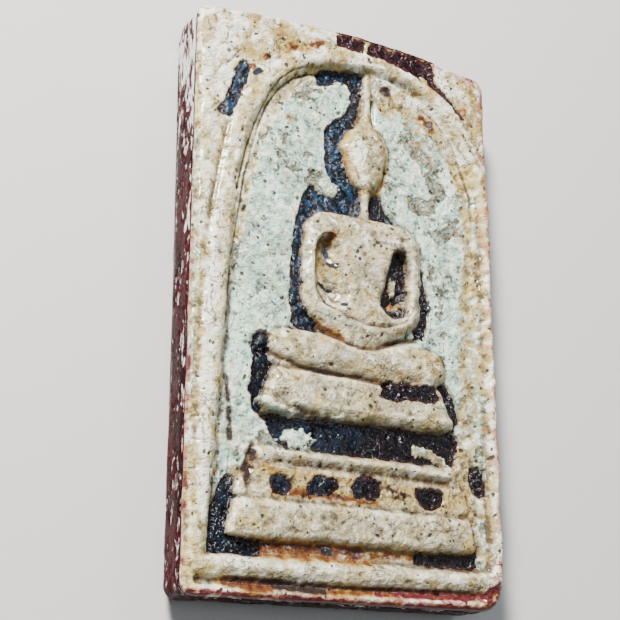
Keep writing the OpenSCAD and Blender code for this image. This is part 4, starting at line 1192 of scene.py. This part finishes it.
def plaster_material():
    """Lime plaster under a pale flaking crust, with gold, brown and rust stains, soot and red wash, painted
    shade in its low places, along its carved lines and round the head, and painted highlights.
    """
    material, s, surface = new_material("aged lime plaster")
    place = s.object_place()
    lump = s.noise(place, 1500.0, 5.0, 0.62, 0.2)
    fine = placed(s, GRAIN, Vector=place, Per_metre=5200.0)["Value"]
    mottle = s.noise(place, 520.0, 4.0, 0.6, 0.4)
    cloud = s.noise(place, 190.0, 3.0, 0.5)
    edge_noise = s.times_plus(s.noise(place, 2600.0, 3.0, 0.6), 1.0, -0.5)

    crust = s.times_plus(edge_noise, 0.30, s.value("crust"))
    on_crust = s.step(crust, -0.03, 0.03)
    crust_edge_shade = s.times(s.step(crust, -0.13, -0.01), s.step(crust, 0.09, 0.0))
    field = s.step(s.value("field"), 0.25, 0.75)

    bare = s.mix(s.step(mottle, 0.35, 0.65), (0.34, 0.295, 0.18), (0.47, 0.42, 0.275))
    warm = s.mix(s.step(cloud, 0.38, 0.62), (0.27, 0.215, 0.09), (0.56, 0.47, 0.24))
    # Painted light: creamier towards the lit left side
    lit_side_cream = s.mix(s.value("lit_side_cream"), warm, (0.78, 0.69, 0.35))
    pale = s.mix(s.step(mottle, 0.35, 0.65), (0.305, 0.445, 0.355), (0.575, 0.83, 0.715))
    beige = s.mix(s.step(mottle, 0.36, 0.64), (0.26, 0.22, 0.13), (0.49, 0.43, 0.28))
    lit_side_cream = s.mix(s.times(s.value("figure"), 0.9), lit_side_cream, beige)
    skin = s.mix(field, lit_side_cream, pale)
    colour = s.mix(s.times(on_crust, s.maths("MAXIMUM", field, 0.55)), bare, skin)
    yellow = s.step(s.noise(place, 330.0, 4.0, 0.6), 0.50, 0.68)
    on_figure = s.value("figure")
    yellow = s.times(yellow, s.times_plus(field, -0.5, 0.75))
    yellow = s.times(yellow, s.times_plus(on_figure, -0.55, 1.0))
    colour = s.mix(yellow, colour, (0.62, 0.46, 0.13))

    # Nearly white where bleached or rubbed, and where a highlight is painted
    white = s.times_plus(s.maths("SUBTRACT", mottle, 0.5), 1.6, s.value("bleached_and_highlit"))
    white = s.times_plus(on_figure, -0.15, white)
    colour = s.mix(s.step(white, 0.25, 0.85, 0.0, 0.85), colour, (0.93, 0.90, 0.79))
    # Golden or olive tint, and painted shade round the head and beside the chest
    olive_and_shade = s.times_plus(s.maths("SUBTRACT", mottle, 0.5), 1.3, s.value("olive_and_shade"))
    golden = s.step(olive_and_shade, 0.2, 0.8, 0.0, 0.8)
    colour = s.mix(golden, colour, (0.43, 0.315, 0.10))
    # Painted shade: darker in the small hollows of the face and in the low places of the bump, with some
    # random mottle
    low = s.times(s.value("dip_shade"), 0.6)
    low = s.times_plus(s.maths("SUBTRACT", 0.5, lump), 6.5, low)
    low = s.times_plus(s.value("bleached_and_highlit"), -0.35, low)
    low = s.times_plus(s.maths("SUBTRACT", 0.5, fine), 4.0, low)
    colour = s.mix(s.step(low, 0.1, 1.3, 0.0, 0.85), colour, (0.055, 0.038, 0.018))
    # Painted highlight and wear: lighter on the raised places of the face and the bump
    proud_wear_and_highlight = s.step(low, -0.1, -1.0, 0.0, 0.75)
    proud_wear_and_highlight = s.times(proud_wear_and_highlight, s.times_plus(on_figure, -0.4, 1.0))
    proud_wear_and_highlight = s.times(proud_wear_and_highlight, s.times_plus(golden, -0.85, 1.0))
    colour = s.mix(proud_wear_and_highlight, colour, (0.95, 0.91, 0.72))
    # Painted shade at the feet of walls and in other low places
    shaded_crease = s.times_plus(s.maths("SUBTRACT", mottle, 0.5), 2.0, s.value("crease_shade"))
    colour = s.mix(s.step(shaded_crease, 0.3, 1.3, 0.0, 0.75), colour, (0.07, 0.036, 0.016))
    # Painted shade: a thin dark line along the edges of the crust's raised step
    crust_edge_shade = s.times(crust_edge_shade, s.times(field, 0.6))
    colour = s.mix(crust_edge_shade, colour, (0.045, 0.032, 0.018))

    vein_noise = s.noise(place, 620.0, 4.0, 0.55, 0.6)
    vein = s.step(s.maths("ABSOLUTE", s.maths("SUBTRACT", vein_noise, 0.5)), 0.016, 0.003)
    vein = s.times(vein, s.step(s.noise(place, 260.0, 2.0), 0.45, 0.56))
    colour = s.mix(s.times(vein, 0.7), colour, (0.05, 0.028, 0.014))

    ragged = s.times_plus(s.noise(place, 1300.0, 4.0, 0.65), 1.6, -0.8)
    wash = s.maths("ADD", s.value("pink_wash"), ragged)
    colour = s.mix(s.step(wash, 0.25, 0.75, 0.0, 0.75), colour, (0.36, 0.07, 0.055))
    colour = s.mix(s.step(wash, 0.75, 1.0, 0.0, 0.95), colour, (0.085, 0.004, 0.008))

    spread = s.times_plus(s.noise(place, 1700.0, 4.0, 0.62), 1.0, -0.5)
    # Stains, and painted shade under the waist's lip and at the head's edges
    stain_and_shade = s.times_plus(spread, 1.1, s.value("stain_and_shade"))
    colour = s.mix(s.step(stain_and_shade, 0.10, 0.40, 0.0, 0.62), colour, (0.36, 0.18, 0.012))
    colour = s.mix(s.step(stain_and_shade, 0.38, 0.8, 0.0, 0.96), colour, (0.12, 0.030, 0.002))
    colour = s.mix(s.step(stain_and_shade, 0.85, 1.25, 0.0, 0.9), colour, (0.040, 0.009, 0.003))
    # Dirt, and painted shade along the grooves and under the lips
    grime_and_shade = s.times_plus(spread, 1.0, s.value("grime_and_shade"))
    colour = s.mix(s.step(grime_and_shade, 0.2, 0.7, 0.0, 0.75), colour, (0.085, 0.034, 0.014))
    colour = s.mix(s.step(grime_and_shade, 0.7, 1.05, 0.0, 0.95), colour, (0.016, 0.006, 0.004))
    rim = s.times_plus(edge_noise, 0.3, s.value("hollow_edge"))
    colour = s.mix(s.step(rim, -0.14, -0.01, 0.0, 0.6), colour, (0.09, 0.048, 0.026))

    ink = s.step(s.times_plus(edge_noise, 0.4, s.value("ink")), 0.42, 0.5)
    navy = s.mix(s.step(lump, 0.42, 0.6), (0.003, 0.003, 0.006), (0.007, 0.014, 0.032))
    colour = s.mix(ink, colour, navy)

    large = placed(s, PITS, Vector=place, Per_metre=900.0, Largest=0.15, Share=0.7)["Mask"]
    small = placed(s, PITS, Vector=place, Per_metre=2300.0, Largest=0.27, Share=0.22)["Mask"]
    pits = s.maths("MAXIMUM", s.maths("MAXIMUM", large, small), s.step(s.value("pits"), 0.45, 0.7))
    colour = s.mix(s.times(pits, 0.9), colour, (0.012, 0.007, 0.005))
    s.tree.links.new(colour, surface.inputs["Base Color"])

    rough = s.step(lump, 0.35, 0.65, 0.68, 0.48)
    rough = s.times_plus(s.step(stain_and_shade, 0.1, 0.5), 0.2, rough)
    s.tree.links.new(s.times_plus(ink, -0.2, rough), surface.inputs["Roughness"])
    height = s.times_plus(lump, 2.2, s.times(fine, 0.7))
    height = s.maths("SUBTRACT", height, s.times(pits, 0.8))
    height = s.maths("SUBTRACT", height, s.times(vein, 0.35))
    height = s.times_plus(on_crust, s.times(field, 0.45), height)
    s.tree.links.new(s.bump(height, 0.00017), surface.inputs["Normal"])
    surface.inputs["Specular IOR Level"].default_value = 0.3
    surface.inputs["Coat Weight"].default_value = 0.45
    surface.inputs["Coat Roughness"].default_value = 0.16
    return material


def lacquer_material(name, deep, painted_sheen_right, painted_sheen_left, painted_sheen_top, thin_colour, speck, relief):
    """Old lacquer, glossy and puckered, browner where it is thin, with a painted sheen on the puckers that is
    bluer to the left and brighter to the top, painted shade where it lies low, and painted glints.
    """
    material, s, surface = new_material(name)
    place = s.object_place()
    pucker = s.noise(place, 1700.0, 4.5, 0.66, 0.3)
    cells = {"Vector": place, "Scale": 3000.0, "Randomness": 1.0}
    beads = s.add("ShaderNodeTexVoronoi", cells, feature="SMOOTH_F1").outputs["Distance"]
    # Painted sheen: the puckers are lighter, bluer to the left and brighter towards the top
    side = s.add("ShaderNodeSeparateXYZ", {0: place}).outputs["X"]
    patchy = s.times_plus(s.noise(place, 500.0, 3.0), 1.6, -0.8)
    blue = s.maths("ADD", s.step(side, 0.004, -0.002), patchy)
    blue = s.step(blue, 0.1, 0.9)
    painted_sheen = s.mix(blue, painted_sheen_right, painted_sheen_left)
    upward = s.add("ShaderNodeSeparateXYZ", {0: place}).outputs["Y"]
    painted_sheen = s.mix(s.times(blue, s.step(upward, -0.012, 0.009)), painted_sheen, painted_sheen_top)
    # Painted shade where the lacquer lies low beside raised work, less on the bluer left
    sunk_shade = s.step(s.value("crease_shade"), 0.1, 0.9)
    sunk_shade = s.times(sunk_shade, s.times_plus(blue, -0.75, 1.0))
    colour = s.mix(s.step(pucker, 0.42, 0.66), deep, painted_sheen)
    colour = s.mix(s.times(sunk_shade, 0.8), colour, (0.005, 0.0012, 0.0018))
    thin = s.times(s.value("thin"), s.step(s.noise(place, 1300.0, 4.0), 0.35, 0.6))
    colour = s.mix(s.times(thin, 0.8), colour, thin_colour)
    # Painted glints: small pale specks over the lacquer
    grain = placed(s, GRAIN, Vector=place, Per_metre=6200.0)["Value"]
    painted_glints = s.times(s.step(grain, 0.58, 0.66), s.step(s.noise(place, 900.0, 3.0), 0.36, 0.56))
    glint_points = placed(s, PITS, Vector=place, Per_metre=6500.0, Largest=0.38, Share=0.45)["Mask"]
    painted_glints = s.maths("MAXIMUM", s.times(painted_glints, 0.6), s.times(glint_points, 0.38))
    colour = s.mix(painted_glints, colour, speck)
    s.tree.links.new(colour, surface.inputs["Base Color"])
    s.tree.links.new(s.step(pucker, 0.3, 0.75, 0.07, 0.22), surface.inputs["Roughness"])
    swell = s.noise(place, 800.0, 2.0, 0.5)
    height = s.times_plus(pucker, 0.9, s.times(beads, -0.6))
    height = s.times_plus(swell, 1.6, height)
    s.tree.links.new(s.bump(height, relief), surface.inputs["Normal"])
    surface.inputs["Specular IOR Level"].default_value = 0.36
    return material


def coat_material():
    """Dark red lacquer, rubbed off in flakes that run along the sides."""
    material, s, surface = new_material("worn red lacquer")
    place = s.object_place()
    drawn = s.add("ShaderNodeMapping", {"Vector": place, "Scale": (0.32, 0.32, 1.0)}).outputs["Vector"]
    flake = s.noise(drawn, 2800.0, 5.0, 0.75, 0.5)
    worn = s.times_plus(s.maths("SUBTRACT", flake, 0.5), 3.0, s.value("worn"))
    cloud = s.step(s.noise(drawn, 900.0, 3.0), 0.35, 0.65)
    deep = s.mix(cloud, (0.010, 0.0004, 0.0014), (0.044, 0.0014, 0.005))
    colour = s.mix(s.step(worn, 0.05, 0.26, 0.0, 0.6), deep, (0.09, 0.018, 0.022))
    colour = s.mix(s.step(worn, 0.26, 0.36, 0.0, 0.8), colour, (0.34, 0.24, 0.23))
    colour = s.mix(s.step(worn, 0.34, 0.46), colour, (0.68, 0.68, 0.67))
    speck = s.step(placed(s, GRAIN, Vector=drawn, Per_metre=4200.0)["Value"], 0.58, 0.66)
    colour = s.mix(s.times(speck, 0.6), colour, (0.015, 0.008, 0.008))
    s.tree.links.new(colour, surface.inputs["Base Color"])
    s.tree.links.new(s.step(worn, 0.0, 0.3, 0.14, 0.45), surface.inputs["Roughness"])
    height = s.times_plus(s.step(worn, 0.05, 0.25), -0.8, s.times(flake, 1.8))
    s.tree.links.new(s.bump(height, 0.00012), surface.inputs["Normal"])
    surface.inputs["Specular IOR Level"].default_value = 0.04
    return material


def grit_material():
    """Grains of dark sand."""
    material, s, surface = new_material("dark grit")
    tone = s.noise(s.object_place(), 900.0, 2.0)
    s.tree.links.new(s.mix(tone, (0.015, 0.010, 0.008), (0.09, 0.05, 0.03)), surface.inputs["Base Color"])
    surface.inputs["Roughness"].default_value = 0.6
    return material


plaster = plaster_material()
# The sheen colours are painted reflection, and the speck colour is for the painted glints
black_lacquer = lacquer_material(
    "blue black lacquer",
    deep=(0.0012, 0.0008, 0.0018),
    painted_sheen_right=(0.006, 0.0018, 0.004),
    painted_sheen_left=(0.004, 0.012, 0.028),
    painted_sheen_top=(0.010, 0.040, 0.090),
    thin_colour=(0.026, 0.010, 0.009),
    speck=(0.24, 0.29, 0.40),
    relief=0.00028,
)
brown_lacquer = lacquer_material(
    "brown black lacquer",
    deep=(0.0012, 0.0007, 0.0015),
    painted_sheen_right=(0.009, 0.0020, 0.004),
    painted_sheen_left=(0.0035, 0.010, 0.024),
    painted_sheen_top=(0.005, 0.022, 0.052),
    thin_colour=(0.030, 0.010, 0.008),
    speck=(0.11, 0.12, 0.16),
    relief=0.00019,
)
red_lacquer = lacquer_material(
    "dark red lacquer",
    deep=(0.008, 0.0012, 0.003),
    painted_sheen_right=(0.024, 0.004, 0.009),
    painted_sheen_left=(0.034, 0.005, 0.012),
    painted_sheen_top=(0.034, 0.005, 0.012),
    thin_colour=(0.06, 0.018, 0.013),
    speck=(0.20, 0.11, 0.10),
    relief=0.00028,
)
worn_red = coat_material()
grit = grit_material()

# Grit pressed into the face


def grit_tree():
    """Scatters small dark grains over the upward faces of a mesh."""
    tree = bpy.data.node_groups.new("scatter grit", "GeometryNodeTree")
    for label, kind, value in (
        ("Geometry", "NodeSocketGeometry", None),
        ("Grains per square metre", "NodeSocketFloat", 300000.0),
        ("Smallest", "NodeSocketFloat", 0.3),
        ("Largest", "NodeSocketFloat", 1.0),
        ("Grain size", "NodeSocketFloat", 0.00008),
        ("Lowest place", "NodeSocketFloat", 0.0034),
        ("Highest place", "NodeSocketFloat", 0.00449),
        ("Seed", "NodeSocketInt", 5),
        ("Material", "NodeSocketMaterial", None),
    ):
        socket = tree.interface.new_socket(label, in_out="INPUT", socket_type=kind)
        if value is not None:
            socket.default_value = value
    tree.interface.new_socket("Geometry", in_out="OUTPUT", socket_type="NodeSocketGeometry")
    s = Shader(tree)
    given = tree.nodes.new("NodeGroupInput").outputs
    out = tree.nodes.new("NodeGroupOutput").inputs
    z = s.add("ShaderNodeSeparateXYZ", {0: s.add("GeometryNodeInputPosition").outputs[0]}).outputs["Z"]
    up = s.add("ShaderNodeSeparateXYZ", {0: s.add("GeometryNodeInputNormal").outputs[0]}).outputs["Z"]
    high = s.add("FunctionNodeCompare", {0: z, 1: given["Lowest place"]}, operation="GREATER_THAN").outputs[0]
    flat = s.add("FunctionNodeCompare", {0: up, 1: 0.75}, operation="GREATER_THAN").outputs[0]
    both = s.add("FunctionNodeBooleanMath", {0: high, 1: flat}, operation="AND").outputs[0]
    low = s.add("FunctionNodeCompare", {0: z, 1: given["Highest place"]}, operation="LESS_THAN").outputs[0]
    both = s.add("FunctionNodeBooleanMath", {0: both, 1: low}, operation="AND").outputs[0]
    points = s.add("GeometryNodeDistributePointsOnFaces", {
        "Mesh": given["Geometry"],
        "Selection": both,
        "Density": given["Grains per square metre"],
        "Seed": given["Seed"],
    })
    ball = s.add("GeometryNodeMeshIcoSphere", {"Radius": given["Grain size"], "Subdivisions": 1})
    scale = s.add("FunctionNodeRandomValue", {"Seed": given["Seed"]}, data_type="FLOAT")
    tree.links.new(given["Smallest"], scale.inputs[2])
    tree.links.new(given["Largest"], scale.inputs[3])
    grains = s.add("GeometryNodeInstanceOnPoints", {
        "Points": points.outputs["Points"],
        "Instance": ball.outputs["Mesh"],
        "Rotation": points.outputs["Rotation"],
        "Scale": scale.outputs[1],
    })
    real = s.add("GeometryNodeRealizeInstances", {"Geometry": grains.outputs["Instances"]})
    real = real.outputs["Geometry"]
    dressed = s.add("GeometryNodeSetMaterial", {"Geometry": real, "Material": given["Material"]})
    tree.links.new(dressed.outputs["Geometry"], out["Geometry"])
    return tree


def through_nodes(name, source, tree, **inputs):
    """The plain mesh that a geometry node tree makes of a piece."""
    holder = bpy.data.objects.new(name, source.data.copy())
    bpy.context.scene.collection.objects.link(holder)
    modifier = holder.modifiers.new("nodes", "NODES")
    modifier.node_group = tree
    sockets = {item.name: item.identifier for item in tree.interface.items_tree if item.in_out == "INPUT"}
    for key, value in inputs.items():
        modifier[sockets[key.replace("_", " ")]] = value
    evaluated = holder.evaluated_get(bpy.context.evaluated_depsgraph_get())
    mesh = bpy.data.meshes.new_from_object(evaluated)
    holder.modifiers.clear()
    holder.data = mesh
    return holder


grains = through_nodes("grit", tablet, grit_tree(), Material=grit)

# Dressing the frame

for name, piece in lacquers.items():
    red = name == "crown_lacquer"
    dark_lacquer = brown_lacquer if name in BROWNER else black_lacquer
    piece.data.materials.append(red_lacquer if red else dark_lacquer)
    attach(piece, "root")
    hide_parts(LACQUER_NODES[name])
tablet.data.materials.append(plaster)
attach(tablet, "root")
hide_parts("plaster_tablet")
coat.data.materials.append(worn_red)
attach(coat, "root")
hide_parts("red_lacquer_coat")
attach(grains, "root")

# Floor, light and camera

floor_mesh = bpy.data.meshes.new("floor")
floor_mesh.from_pydata([(-1, -1, 0), (1, -1, 0), (1, 1, 0), (-1, 1, 0)], [], [(0, 1, 2, 3)])
floor = bpy.data.objects.new("floor", floor_mesh)
bpy.context.scene.collection.objects.link(floor)
floor_material, _, floor_surface = new_material("pale floor")
floor_surface.inputs["Base Color"].default_value = (0.60, 0.595, 0.585, 1.0)
floor_surface.inputs["Roughness"].default_value = 0.8
floor_mesh.materials.append(floor_material)

world = bpy.data.worlds.new("studio")
world.use_nodes = True
background = world.node_tree.nodes["Background"]
background.inputs["Color"].default_value = (0.92, 0.95, 1.0, 1.0)
background.inputs["Strength"].default_value = 0.17
bpy.context.scene.world = world


def area_light(name, place, aim, size, power, colour):
    """A soft square light, its place and aim in millimetres."""
    data = bpy.data.lights.new(name, "AREA")
    data.size = size * MM
    data.energy = power
    data.color = colour
    light = bpy.data.objects.new(name, data)
    light.location = Vector(place) * MM
    light.rotation_euler = (Vector(aim) - Vector(place)).to_track_quat("-Z", "Y").to_euler()
    bpy.context.scene.collection.objects.link(light)


area_light("key", (-118, 140, 150), (0, 0, 4), 45, 2.15, (1.0, 0.965, 0.90))
area_light("sky", (-60, -20, 230), (0, 0, 4), 90, 0.08, (0.90, 0.96, 1.0))
area_light("cool", (135, 75, 240), (0, 0, 4), 45, 0.15, (0.80, 0.90, 1.0))

camera_data = bpy.data.cameras.new("camera")
camera_data.lens = 75.98
camera_data.clip_start = 0.005
camera = bpy.data.objects.new("camera", camera_data)
camera.location = (-0.0436972, -0.0288069, 0.0775616)
camera.rotation_euler = Matrix((
    (0.875403, -0.152065, -0.458854), (0.001352, 0.949999, -0.312251), (0.483393, 0.272725, 0.831837),
)).to_euler()
bpy.context.scene.collection.objects.link(camera)
bpy.context.scene.camera = camera
